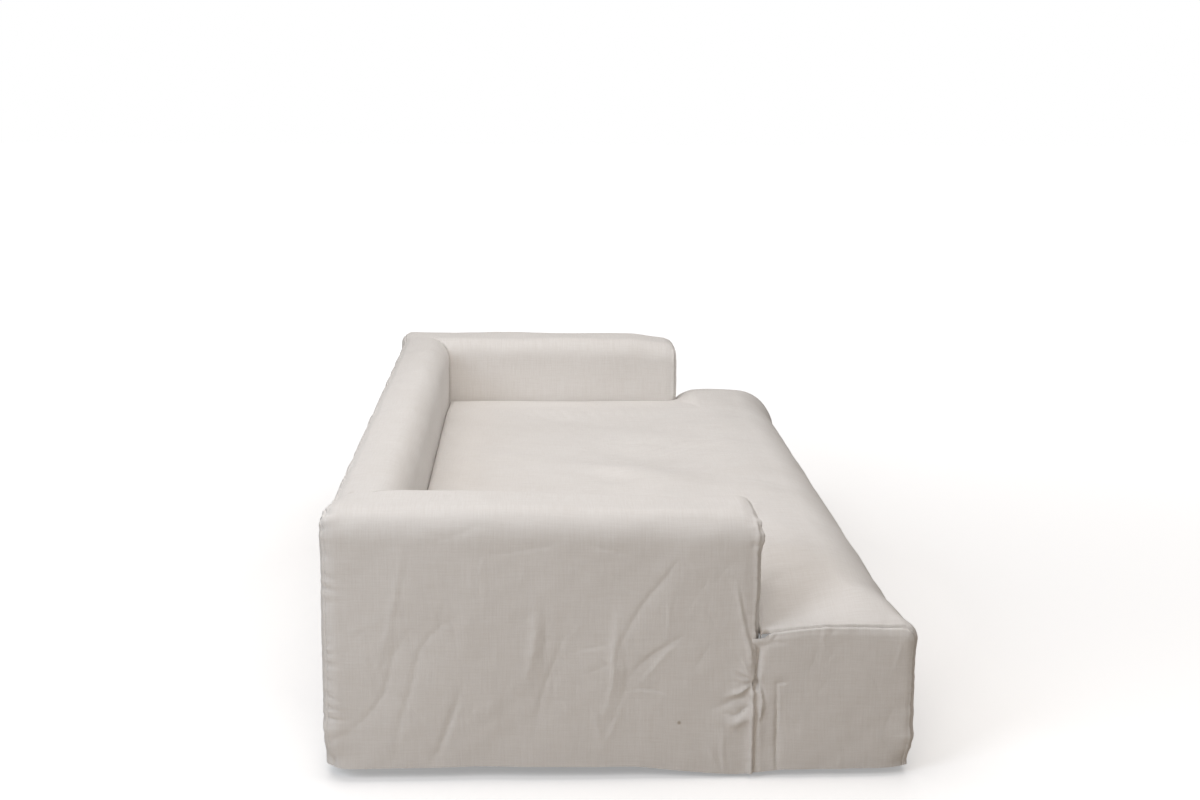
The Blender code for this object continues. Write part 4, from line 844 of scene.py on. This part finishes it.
def back_cloth():
    """Top of the back between the arms, and the inside back in one cloth with it."""
    turn_in = EDGE * TURN
    top_end = turn_in + BACK_THICKNESS - EDGE - ROLL
    bottom = top_end + QUARTER + HEIGHT - ROLL - TUCK_HEIGHT
    rows = np.concatenate([
        turn_in * (1 - TURN_IN), spaced(turn_in, top_end, STEP)[1:], top_end + QUARTER * ARC[1:],
        spaced(top_end + QUARTER, bottom, INSIDE_BACK_STEP)[1:],
    ])
    rows[0] = HALF_GAP
    second = np.clip((rows - top_end) / ROLL, 0, math.pi / 2)
    end = LEFT + ARM_WIDTH - ROLL + ROLL * np.sin(second) + HALF_GAP
    share = np.linspace(-1, 1, BACK_TOP_COLUMNS)
    share = np.sign(share) * bunched(np.abs(share), BACK_BUNCHING)
    x = -end[:, None] * share[None, :]
    s = np.repeat(rows[:, None], x.shape[1], axis=1)
    points, normals = with_normals(back_surface, s, x)
    return [(points, normals, np.stack([x, s], axis=-1), grid_keep(points))]


def tuck_roll(x):
    """Radius of the deck's turn down into the tuck, tighter at the end seam."""
    inward = LENGTH / 2 - np.abs(x)
    return TUCK_ROLL_AT_SIDE + (TUCK_ROLL - TUCK_ROLL_AT_SIDE) * smooth((inward - SEAT_EDGE) / 0.12)


def wall_distance(x, y):
    """Distance from the arms and the back, as the deck sees them in plan, and the direction towards them."""
    reach_x = LENGTH / 2 - ARM_WIDTH - TUCK_SPACE
    center_x = reach_x + TUCK_SPACE + EDGE
    center_y = ARM_FACE + EDGE
    radius = EDGE + TUCK_SPACE
    ax = np.abs(x)
    near_corner = (ax < center_x) & (y < center_y)
    corner = np.hypot(ax - center_x, y - center_y)
    beside = y >= center_y
    from_wall = np.where(beside, reach_x - ax, ARM_FACE - TUCK_SPACE - y)
    distance = np.where(near_corner, corner - radius, from_wall)
    corner = np.maximum(corner, 1e-9)
    toward_x = np.sign(x) * np.where(near_corner, (center_x - ax) / corner, np.where(beside, 1.0, 0.0))
    toward_y = np.where(near_corner, (center_y - y) / corner, np.where(beside, 0.0, 1.0))
    from_back = INSIDE_BACK - TUCK_SPACE - y
    at_back = from_back < distance
    tie = np.abs(from_back - distance) < 1e-9
    distance = np.where(at_back, from_back, distance)
    toward_x = np.where(at_back & ~tie, 0.0, toward_x)
    toward_y = np.where(at_back | tie, 1.0, toward_y)
    return np.maximum(distance, 0), toward_x, toward_y


def seat_cloth():
    """Deck, rolled front and front drop in one cloth, with the strip of its edge that is tucked in."""
    turn_x = LENGTH / 2 - SEAT_EDGE * (1 - (TURN_IN * TURN - HALF_GAP / SEAT_EDGE * (TURN_IN == 1)))
    corner_x = ARM_WIDTH - EDGE
    arc = np.radians(np.linspace(90.0, 45.0, ARM_CORNER_LINES))
    arm_round = EDGE + TUCK_SPACE
    curl = TUCK_ROLL * (1 - np.sin(np.radians(np.linspace(90.0, 0.0, TUCK_LINES))))
    left = np.concatenate([
        -turn_x, spaced(LEFT + SEAT_EDGE, LEFT + corner_x, END_STEP)[1:-1],
        LEFT + corner_x + arm_round * np.cos(arc), LEFT + ARM_WIDTH + TUCK_SPACE + curl[1:],
    ])
    corner_column = len(left) - len(curl)
    middle = spaced(left[-1], -left[-1], DECK_STEP)[1:-1]
    x_lines = np.concatenate([left, middle, -left[::-1]])

    corner_y = ARM_FACE + EDGE
    tuck_rows = ARM_FACE - TUCK_SPACE - curl[1:]
    deck_rows = np.concatenate([
        INSIDE_BACK - TUCK_SPACE - curl,
        spaced(INSIDE_BACK - TUCK_SPACE - curl[-1], corner_y, DECK_ROW_STEP)[1:-1],
        corner_y - arm_round * np.cos(arc), tuck_rows,
    ])
    corner_row = len(deck_rows) - len(tuck_rows) - 1
    radius, front = front_roll(x_lines)
    start = front + radius
    share = np.linspace(0, 1, DECK_FRONT_ROWS)[1:, None]
    deck_front = tuck_rows[-1] + (start[None, :] - tuck_rows[-1]) * share
    rolled = start[None, :] - radius[None, :] * (math.pi / 2 * np.linspace(0, 1, ROLL_ROWS)[1:, None])
    drop_length = seat_deck(x_lines, start) - radius - HEM
    dropped = rolled[-1][None, :] - drop_length[None, :] * np.linspace(0, 1, DROP_ROWS)[1:, None]
    q = np.concatenate([np.repeat(deck_rows[:, None], len(x_lines), axis=1), deck_front, rolled, dropped])
    x = np.repeat(x_lines[None, :], len(q), axis=0)

    # The edge of the deck runs along the arm and round its front corner
    last = len(x_lines) - 1 - corner_column
    bend = np.clip((corner_y - deck_rows[:corner_row]) / arm_round, 0, 1)
    edge_x = LEFT + corner_x + arm_round * np.sqrt(1 - bend**2)
    x[:corner_row, corner_column] = edge_x
    x[:corner_row, last] = -edge_x
    bend = np.clip((x_lines[:corner_column] - LEFT - corner_x) / arm_round, 0, 1)
    edge_y = corner_y - arm_round * np.sqrt(1 - bend**2)
    q[corner_row, :corner_column] = edge_y
    q[corner_row, last + 1:] = edge_y[::-1]

    points, normals = with_normals(seat_surface, x, q)
    distance, toward_x, toward_y = wall_distance(points[..., 0], q)
    distance[corner_row, : corner_column + 1] = 0
    distance[corner_row, last:] = 0
    distance[:corner_row, corner_column] = 0
    distance[:corner_row, last] = 0
    size = tuck_roll(points[..., 0])
    sine = np.clip(1 - distance / size, 0, 1) * (q > start[None, :] + 1e-9)
    cosine = np.sqrt(1 - sine**2)
    points[..., 2] -= size * (1 - cosine)
    toward = np.stack([toward_x, toward_y, 0 * toward_x], axis=-1)
    normals = unit(normals * cosine[..., None] + toward * sine[..., None])
    keep = grid_keep(points)
    keep[:corner_row, :corner_column] = False
    keep[:corner_row, last:] = False

    # The tucked strip hangs from the deck's edge along the arms' fronts, their insides and the back
    inset = 4
    path = [(corner_row, i) for i in range(inset, corner_column)]
    path += [(j, corner_column) for j in range(corner_row, 0, -1)]
    path += [(0, i) for i in range(corner_column, last)]
    path += [(j, last) for j in range(0, corner_row)]
    path += [(corner_row, i) for i in range(last, len(x_lines) - inset)]
    path = np.array(path)
    edge, edge_normals = points[path[:, 0], path[:, 1]], normals[path[:, 0], path[:, 1]]
    strip = np.stack([edge - np.array([0, 0, TUCK_DROP * k / 3]) for k in range(4)])
    strip_normals = np.stack([edge_normals] * 4)
    cloth = np.stack([x, q], axis=-1)
    along = cloth[path[:, 0], path[:, 1]]
    strip_cloth = np.stack([along + np.array([0, TUCK_DROP * k / 3]) for k in range(4)])
    return [
        (points, normals, cloth, keep),
        (strip, strip_normals, strip_cloth, np.ones((3, len(path) - 1), bool)),
    ]


# How far the seat's end panel runs on under the arm's cloth, and the slope by which it falls away from it
UNDER_REACH, UNDER_SLOPE = 0.010, 1.1


def seat_side_cloth(corner_radius):
    """Left end panel of the seat: below the ridge seam, from the groove at the arm to the front corner. It
    turns in to its seam by a circle, sinks into the groove by the circle of the arm's own edge, and runs on a
    little way under the arm's cloth, so that no gap shows."""
    corner = corner_radius - SEAT_SINK
    start = FRONT + corner_radius
    level = seam_height(start)
    top = level - SEAT_SINK - SHORT
    border = SEAT_EDGE * (math.sin(TURN) - np.sin(TURN * TURN_IN))
    low = spaced(HEM, top - corner, FINE_STEP)
    angle = math.pi / 2 * np.linspace(0, 1, END_CORNER_LINES)[1:]
    edge_z = np.concatenate([low, top - corner + corner * np.sin(angle)])
    edge_in = np.concatenate([0 * low, corner * (1 - np.cos(angle))])
    front = FRONT + SEAT_SINK + SHORT + edge_in
    radius, turn, space = [np.interp(edge_z, GROOVE[:, 0], GROOVE[:, k]) for k in (1, 2, 3)]
    turn = np.radians(turn)
    rear = ARM_SEAM - np.maximum(space, GROOVE_FLOOR) - HALF_GAP
    fade = smooth((top - edge_z) / 0.05)
    first = front[:, None] + border[None, :]
    groove = (radius * np.sin(turn))[:, None]
    behind = rear[:, None] - groove
    share = np.linspace(0, 1, END_COLUMNS)[None, 1:]
    across = first[:, -1:] + (behind - first[:, -1:]) * share
    turned = behind + (rear[:, None] - behind) * np.linspace(0, 1, GROOVE_COLUMNS)[None, 1:]
    under = np.tile(ARM_SEAM + np.array([-GAP, UNDER_REACH / 2, UNDER_REACH]), (len(rear), 1))
    y = np.concatenate([first, across, turned, under], axis=1)
    dip = 1.5 * TUCK_ROLL_AT_SIDE * smooth((y - ARM_FACE + 0.03) / 0.025)
    dip = dip * smooth((edge_z - top + 0.06) / 0.06)[:, None]
    lift = seam_height(np.maximum(y, start)) - level
    z = edge_z[:, None] + lift * smooth((edge_z - 0.20) / 0.10)[:, None] - dip

    def panel(y, z):
        """The panel's surface over depth and height."""
        over_y = FRONT + SEAT_SINK + corner - y
        over_z = z - (seam_height(np.maximum(y, start)) - SEAT_SINK - corner)
        both = (over_y > 0) & (over_z > 0)
        reach = np.where(both, np.hypot(over_y, over_z), np.maximum(over_y, over_z))
        proud, _ = turn_height(corner - reach, SEAT_EDGE)
        inward = np.clip(y - behind, 0, groove)
        sink = radius[:, None] - np.sqrt(radius[:, None] ** 2 - inward**2)
        below_arm = UNDER_SLOPE * np.maximum(y - ARM_SEAM, 0)
        return np.stack([LEFT + SEAT_SINK - proud + sink * fade[:, None] + below_arm, y, z], axis=-1)

    points, normals = with_normals(panel, z * 0 + y, z)
    normals *= -np.sign(normals[..., :1])
    return [(points, normals, np.stack([y, z], axis=-1), grid_keep(points))]


# ---------------------------------------------------------------- from grids to sheets of cloth


def sheet_mesh(name, patches):
    """One closed mesh from patches that share border points: both faces of the cloth and its cut edge, with
    the cloth's own flat coordinates in metres as its UV map."""
    points = np.concatenate([p.reshape(-1, 3) for p, _, _, _ in patches])
    normals = np.concatenate([n.reshape(-1, 3) for _, n, _, _ in patches])
    cloth = np.concatenate([c.reshape(-1, 2) for _, _, c, _ in patches])
    quads, base = [], 0
    for grid, _, _, keep in patches:
        rows, columns = grid.shape[:2]
        index = base + np.arange(rows * columns).reshape(rows, columns)
        base += rows * columns
        cells = np.stack([index[:-1, :-1], index[1:, :-1], index[1:, 1:], index[:-1, 1:]], axis=-1)[keep]
        a, b, c, d = (points[cells[:, k]] for k in range(4))
        facing = (np.cross(c - a, d - b) * normals[cells[:, 0]]).sum()
        quads.append(cells if facing > 0 else cells[:, ::-1])
    quads = np.concatenate(quads)
    corner_cloth = cloth[quads]
    _, first, merged = np.unique(np.round(points, 6), axis=0, return_index=True, return_inverse=True)
    merged = merged.reshape(-1)
    total = np.zeros((len(first), 3))
    np.add.at(total, merged, normals)
    quads = merged[quads]
    used, quads = np.unique(quads, return_inverse=True)
    quads = quads.reshape(-1, 4)
    outer = laid(points[first][used], unit(total)[used])
    inner = outer - unit(total)[used] * CLOTH
    ends = np.concatenate([quads[:, [k, (k + 1) % 4]] for k in range(4)])
    end_cloth = np.concatenate([corner_cloth[:, [k, (k + 1) % 4]] for k in range(4)])
    _, index, count = np.unique(np.sort(ends, axis=1), axis=0, return_inverse=True, return_counts=True)
    alone = count[index.reshape(-1)] == 1
    border, rim_cloth = ends[alone], end_cloth[alone]
    n = len(outer)
    rim = np.stack([border[:, 1], border[:, 0], border[:, 0] + n, border[:, 1] + n], axis=1)
    faces = np.concatenate([quads, quads[:, ::-1] + n, rim])
    uv = np.concatenate([corner_cloth, corner_cloth[:, ::-1], rim_cloth[:, [1, 0, 0, 1]]])
    mesh = bpy.data.meshes.new(name)
    mesh.vertices.add(2 * n)
    mesh.vertices.foreach_set("co", np.concatenate([outer, inner]).ravel())
    mesh.loops.add(4 * len(faces))
    mesh.loops.foreach_set("vertex_index", faces.ravel().astype(np.int32))
    mesh.polygons.add(len(faces))
    mesh.polygons.foreach_set("loop_start", (4 * np.arange(len(faces))).astype(np.int32))
    mesh.update(calc_edges=True)
    layer = mesh.uv_layers.new(name="cloth")
    layer.data.foreach_set("uv", uv.ravel())
    mesh.shade_smooth()
    mesh.set_sharp_from_angle(angle=SHARP_TURN)
    return mesh


def cloth_piece(name, patches, node):
    """A finished piece: its mesh and its linen, attached to the root, with the part's node that it replaces
    hidden.
    """
    mesh = sheet_mesh(name, patches)
    mesh.materials.append(LINEN)
    piece = bpy.data.objects.new(name, mesh)
    bpy.context.scene.collection.objects.link(piece)
    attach(piece, "root")
    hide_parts(node)
    return piece


# ---------------------------------------------------------------- linen


def fed(tree, node, inputs):
    """Link each of the node's inputs, by name or place, to a socket, or set it to a value."""
    for name, value in inputs.items():
        if isinstance(value, bpy.types.NodeSocket):
            tree.links.new(value, node.inputs[name])
        else:
            node.inputs[name].default_value = value


def placed(tree, kind, inputs=None, **settings):
    """A new node of this kind, with its settings made and its inputs fed."""
    node = tree.nodes.new(kind)
    for name, value in settings.items():
        setattr(node, name, value)
    fed(tree, node, inputs or {})
    return node


def math_node(tree, operation, *values, clamp=False):
    """The result of one operation on sockets or numbers, held between 0 and 1 where clamp is set."""
    values = dict(enumerate(values))
    return placed(tree, "ShaderNodeMath", values, operation=operation, use_clamp=clamp).outputs[0]


def weighed(tree, *parts):
    """Sum of sockets, each times its weight."""
    total = None
    for socket, weight in parts:
        part = math_node(tree, "MULTIPLY", socket, weight)
        total = part if total is None else math_node(tree, "ADD", total, part)
    return total


def stretched_noise(tree, vector, scale, detail, roughness=0.5):
    """Noise over the cloth whose grains are drawn out: scale is (across, along, 1) to the metre."""
    mapping = placed(tree, "ShaderNodeMapping", {"Scale": scale, "Vector": vector})
    noise = {"Scale": 1.0, "Detail": detail, "Roughness": roughness, "Vector": mapping.outputs["Vector"]}
    return placed(tree, "ShaderNodeTexNoise", noise).outputs["Fac"]


def masks_group(name, inputs, outputs):
    """An empty group with these inputs, name -> kind, and these value outputs, and both its ends."""
    group = bpy.data.node_groups.new(name, "ShaderNodeTree")
    for socket, kind in inputs.items():
        group.interface.new_socket(socket, in_out="INPUT", socket_type=kind)
    for socket in outputs:
        group.interface.new_socket(socket, in_out="OUTPUT", socket_type="NodeSocketFloat")
    return group, group.nodes.new("NodeGroupInput").outputs, group.nodes.new("NodeGroupOutput")


def weave_group():
    """Plain weave with slubs: Cloth coordinates in metres in, a tone mask and a height out. The weave is the
    product of two sines, and slubs are noises drawn out along the warp and along the weft."""
    sockets = {"Cloth": "NodeSocketVector", "Yarns": "NodeSocketFloat"}
    group, given, end = masks_group("slub linen weave", sockets, ("Tone", "Height"))
    drift = placed(group, "ShaderNodeTexNoise", {"Scale": DRIFT_GRAINS, "Vector": given["Cloth"]})
    bent = {0: drift.outputs["Color"], 1: (DRIFT, DRIFT, 0.0), 2: given["Cloth"]}
    cloth = placed(group, "ShaderNodeVectorMath", bent, operation="MULTIPLY_ADD").outputs["Vector"]
    split = placed(group, "ShaderNodeSeparateXYZ", {0: cloth})
    turns = math_node(group, "MULTIPLY", given["Yarns"], math.pi)
    warp = math_node(group, "SINE", math_node(group, "MULTIPLY", split.outputs["X"], turns))
    weft = math_node(group, "SINE", math_node(group, "MULTIPLY", split.outputs["Y"], turns))
    weave = math_node(group, "MULTIPLY", warp, weft)
    upright = stretched_noise(group, cloth, UPRIGHT_SLUBS, 4.0, 0.60)
    level = stretched_noise(group, cloth, LEVEL_SLUBS, 4.0, 0.60)
    slubs = weighed(group, (upright, 1.15), (level, 0.80))
    fine_upright = stretched_noise(group, cloth, UPRIGHT_YARNS, 2.0)
    fine_level = stretched_noise(group, cloth, LEVEL_YARNS, 2.0)
    fine = math_node(group, "ADD", fine_upright, fine_level)
    tone = math_node(group, "SUBTRACT", weighed(group, (slubs, 0.80), (fine, 0.42)), 0.70)
    height = weighed(group, (weave, 0.20), (fine, 0.50), (slubs, 0.45))
    fed(group, end, {"Tone": tone, "Height": height})
    return group


def wear_and_shade_group():
    """Slow changes of tone from washing and handling, small stains, and painted shade in the pinched corner
    at the left arm's front: a Tone mask and a mask of stains and painted shade out. The tone is soft noise in
    space, and every spot is round and at a given place, for small stains and painted shade alike."""
    group, given, end = masks_group("washed tone and painted shade", {"Place": "NodeSocketVector"}, ("Tone", "Stain and shade"))
    wide = stretched_noise(group, given["Place"], (2.2, 2.2, 2.2), 4.0, 0.6)
    total = 0.0
    for place, radius, depth in STAINS_AND_SHADE:
        far = placed(group, "ShaderNodeVectorMath", {0: given["Place"], 1: place}, operation="DISTANCE")
        spot = {"Value": far.outputs["Value"], "From Min": radius, "From Max": radius * 0.2, "To Max": depth}
        stain_and_shade = placed(group, "ShaderNodeMapRange", spot, interpolation_type="SMOOTHSTEP")
        total = math_node(group, "ADD", total, stain_and_shade.outputs["Result"])
    fed(group, end, {"Tone": wide, "Stain and shade": total})
    return group


# Small stains, and after them painted warm shade in the pinched corner between the left arm and the seat's
# end, where shadow falls: place, radius, depth
STAINS_AND_SHADE = (
    ((-1.40, -0.143, 0.136), 0.007, 1.0),
    ((-1.190, 0.664, 0.670), 0.014, 0.35),
    ((-1.40, -0.300, 0.165), 0.005, 0.4),
    ((0.62, -0.20, 0.455), 0.010, 0.25),
    # The four spots below are painted warm shade deep in the crevice, where shadow falls
    ((-1.389, -0.350, 0.359), 0.015, 0.70),
    ((-1.385, -0.335, 0.361), 0.012, 0.80),
    ((-1.394, -0.325, 0.238), 0.010, 0.70),
    ((-1.396, -0.323, 0.218), 0.008, 0.50),
)


def plain_material(name, inputs):
    """A material whose one shader has these inputs. It comes with its tree and its shader."""
    material = bpy.data.materials.new(name)
    material.use_nodes = True
    shader = material.node_tree.nodes["Principled BSDF"]
    fed(material.node_tree, shader, inputs)
    return material, material.node_tree, shader


def linen_material():
    """Ivory linen: matt, slightly fuzzy, its colour moved by the yarns' slubs and by washing, and browned by
    small stains and by painted shade in the pinched corner at the left arm.
    """
    finish = {"Roughness": 0.9, "Specular IOR Level": 0.25, "Sheen Weight": 0.15, "Sheen Roughness": 0.5}
    material, tree, shader = plain_material("ivory linen", finish)
    place = placed(tree, "ShaderNodeTexCoord").outputs["Object"]
    cloth = {"Cloth": placed(tree, "ShaderNodeUVMap", uv_map="cloth").outputs["UV"], "Yarns": YARNS_PER_METRE}
    weave = placed(tree, "ShaderNodeGroup", cloth, node_tree=weave_group()).outputs
    wear_and_shade = placed(tree, "ShaderNodeGroup", {"Place": place}, node_tree=wear_and_shade_group()).outputs
    tone = weighed(tree, (weave["Tone"], 0.6), (wear_and_shade["Tone"], 0.4))
    ramp = placed(tree, "ShaderNodeValToRGB", {"Fac": tone})
    for k, position, colour in ((0, 0.25, IVORY_SHADE), (1, 0.75, IVORY_LIGHT)):
        ramp.color_ramp.elements[k].position = position
        ramp.color_ramp.elements[k].color = colour
    # Small stains and painted shade in the pinched corner pull the colour towards brown
    stain_and_shade = math_node(tree, "MULTIPLY", wear_and_shade["Stain and shade"], 0.75, clamp=True)
    colours = {"Factor": stain_and_shade, "A": ramp.outputs["Color"], "B": STAIN_AND_SHADE_BROWN}
    stained_and_shaded = placed(tree, "ShaderNodeMix", colours, data_type="RGBA")
    bump = placed(tree, "ShaderNodeBump", {"Strength": 0.5, "Distance": 0.0006, "Height": weave["Height"]})
    fed(tree, shader, {"Base Color": stained_and_shaded.outputs["Result"], "Normal": bump.outputs["Normal"]})
    return material


# ---------------------------------------------------------------- floor, light and camera

# The floor: how far it reaches, its place under the hem, its colour to the light and to the camera, and its
# glow to the camera, as (distance, strength) close by and far off
FLOOR_REACH, FLOOR_PLACE = 30.0, -0.010
FLOOR_WARM, FLOOR_WHITE = (0.60, 0.54, 0.47, 1), (0.95, 0.95, 0.95, 1)
GLOW_NEAR, GLOW_FAR = (1.2, 0.30), (5.0, 1.0)

# The lamps: name, place, aim, size, power, colour
LAMPS = (
    ("overhead", (0.2, 0.2, 3.2), (0.2, 0.2, 0), (5.0, 4.2), 95, (1.0, 0.965, 0.948)),
    ("side key", (-4.4, 3.4, 3.0), (-1.2, 0.2, 0.3), (2.0, 2.0), 84, (0.86, 0.917, 1.0)),
    ("side fill", (-4.8, 0.2, 3.4), (-1.2, 0.2, 0.3), (2.0, 2.0), 37, (1.0, 0.88, 0.78)),
)
ROOM_WHITE, ROOM_STRENGTH = (1.0, 0.98, 0.94, 1), 0.10

# The camera: place, turn to the side, downward tilt and lean in radians, and lens in mm
CAMERA_PLACE = (-5.3758, 0.2055, 1.7231)
YAW, TILT, LEAN, LENS = -0.0382, 0.1949, 0.0047, 51.95


def stage_floor():
    """A large pale floor just under the hem. The camera sees it fade into the white room."""
    mesh = bpy.data.meshes.new("studio_floor")
    corners = FLOOR_REACH * np.array([(-1, -1, 0), (1, -1, 0), (1, 1, 0), (-1, 1, 0)]) + (0, 0, FLOOR_PLACE)
    mesh.from_pydata(corners.tolist(), [], [(0, 1, 2, 3)])
    finish = {"Roughness": 1.0, "Specular IOR Level": 0.0, "Emission Color": (1, 1, 1, 1)}
    material, tree, shader = plain_material("white floor", finish)
    seen = placed(tree, "ShaderNodeLightPath").outputs["Is Camera Ray"]
    colours = {"Factor": seen, "A": FLOOR_WARM, "B": FLOOR_WHITE}
    colour = placed(tree, "ShaderNodeMix", colours, data_type="RGBA").outputs["Result"]
    place = placed(tree, "ShaderNodeTexCoord").outputs["Object"]
    away = placed(tree, "ShaderNodeVectorMath", {0: place}, operation="LENGTH").outputs["Value"]
    glow = placed(tree, "ShaderNodeMapRange", {
        "Value": away, "From Min": GLOW_NEAR[0], "From Max": GLOW_FAR[0], "To Min": GLOW_NEAR[1],
        "To Max": GLOW_FAR[1],
    }).outputs["Result"]
    fed(tree, shader, {"Base Color": colour, "Emission Strength": math_node(tree, "MULTIPLY", seen, glow)})
    mesh.materials.append(material)
    floor = bpy.data.objects.new("studio_floor", mesh)
    bpy.context.scene.collection.objects.link(floor)


def area_light(name, place, aim, size, power, colour):
    """A square-cornered lamp at this place, turned to shine at its aim."""
    light = bpy.data.lights.new(name, "AREA")
    light.shape = "RECTANGLE"
    light.size, light.size_y = size
    light.energy = power
    light.color = colour
    lamp = bpy.data.objects.new(name, light)
    toward = Vector(aim) - Vector(place)
    lamp.matrix_world = Matrix.Translation(place) @ toward.to_track_quat("-Z", "Y").to_matrix().to_4x4()
    bpy.context.scene.collection.objects.link(lamp)


def studio_light():
    """A broad soft light overhead, two at the left arm's side, and a dim even room. The camera sees the room
    as plain white."""
    for lamp in LAMPS:
        area_light(*lamp)
    world = bpy.data.worlds.new("white room")
    bpy.context.scene.world = world
    world.use_nodes = True
    tree = world.node_tree
    tree.nodes.clear()
    seen = placed(tree, "ShaderNodeBackground", {"Color": (1, 1, 1, 1)}).outputs[0]
    room = placed(tree, "ShaderNodeBackground", {"Color": ROOM_WHITE, "Strength": ROOM_STRENGTH}).outputs[0]
    path = placed(tree, "ShaderNodeLightPath").outputs["Is Camera Ray"]
    mix = placed(tree, "ShaderNodeMixShader", {0: path, 1: room, 2: seen})
    placed(tree, "ShaderNodeOutputWorld", {"Surface": mix.outputs[0]})


def photo_camera():
    """The camera at the photograph's view: beside the left arm, a little above it, looking along the sofa."""
    forward = Vector((math.cos(TILT) * math.cos(YAW), math.cos(TILT) * math.sin(YAW), -math.sin(TILT)))
    right = Vector((math.sin(YAW), -math.cos(YAW), 0.0))
    up = right.cross(forward)
    right, up = right * math.cos(LEAN) + up * math.sin(LEAN), up * math.cos(LEAN) - right * math.sin(LEAN)
    data = bpy.data.cameras.new("photo_view")
    data.sensor_width = 36.0
    data.lens = LENS
    camera = bpy.data.objects.new("photo_view", data)
    turn = Matrix((right, up, -forward)).transposed().to_4x4()
    camera.matrix_world = Matrix.Translation(CAMERA_PLACE) @ turn
    bpy.context.scene.collection.objects.link(camera)
    bpy.context.scene.camera = camera


# ---------------------------------------------------------------- the cover

SEAMS = seam_lines()
LINEN = linen_material()
bpy.context.scene.view_settings.view_transform = "Standard"

cloth_piece("arm_cloth_left", arm_cloth(ARM_COLUMNS), "arm_cover_left")
cloth_piece("arm_cloth_right", mirrored(arm_cloth(ARM_COLUMNS_RIGHT)), "arm_cover_right")
cloth_piece("arm_front_cloth_left", arm_front_cloth(BULGE_LEFT), "arm_front_left")
cloth_piece("arm_front_cloth_right", mirrored(arm_front_cloth(BULGE_RIGHT)), "arm_front_right")
cloth_piece("back_panel_cloth", back_panel_cloth(), "back_panel")
cloth_piece("back_cloth", back_cloth(), "back_cover")
cloth_piece("seat_cloth", seat_cloth(), "seat_cover")
cloth_piece("seat_end_cloth_left", seat_side_cloth(SEAT_CORNER), "seat_side_left")
cloth_piece("seat_end_cloth_right", mirrored(seat_side_cloth(SEAT_CORNER_RIGHT)), "seat_side_right")

stage_floor()
studio_light()
photo_camera()
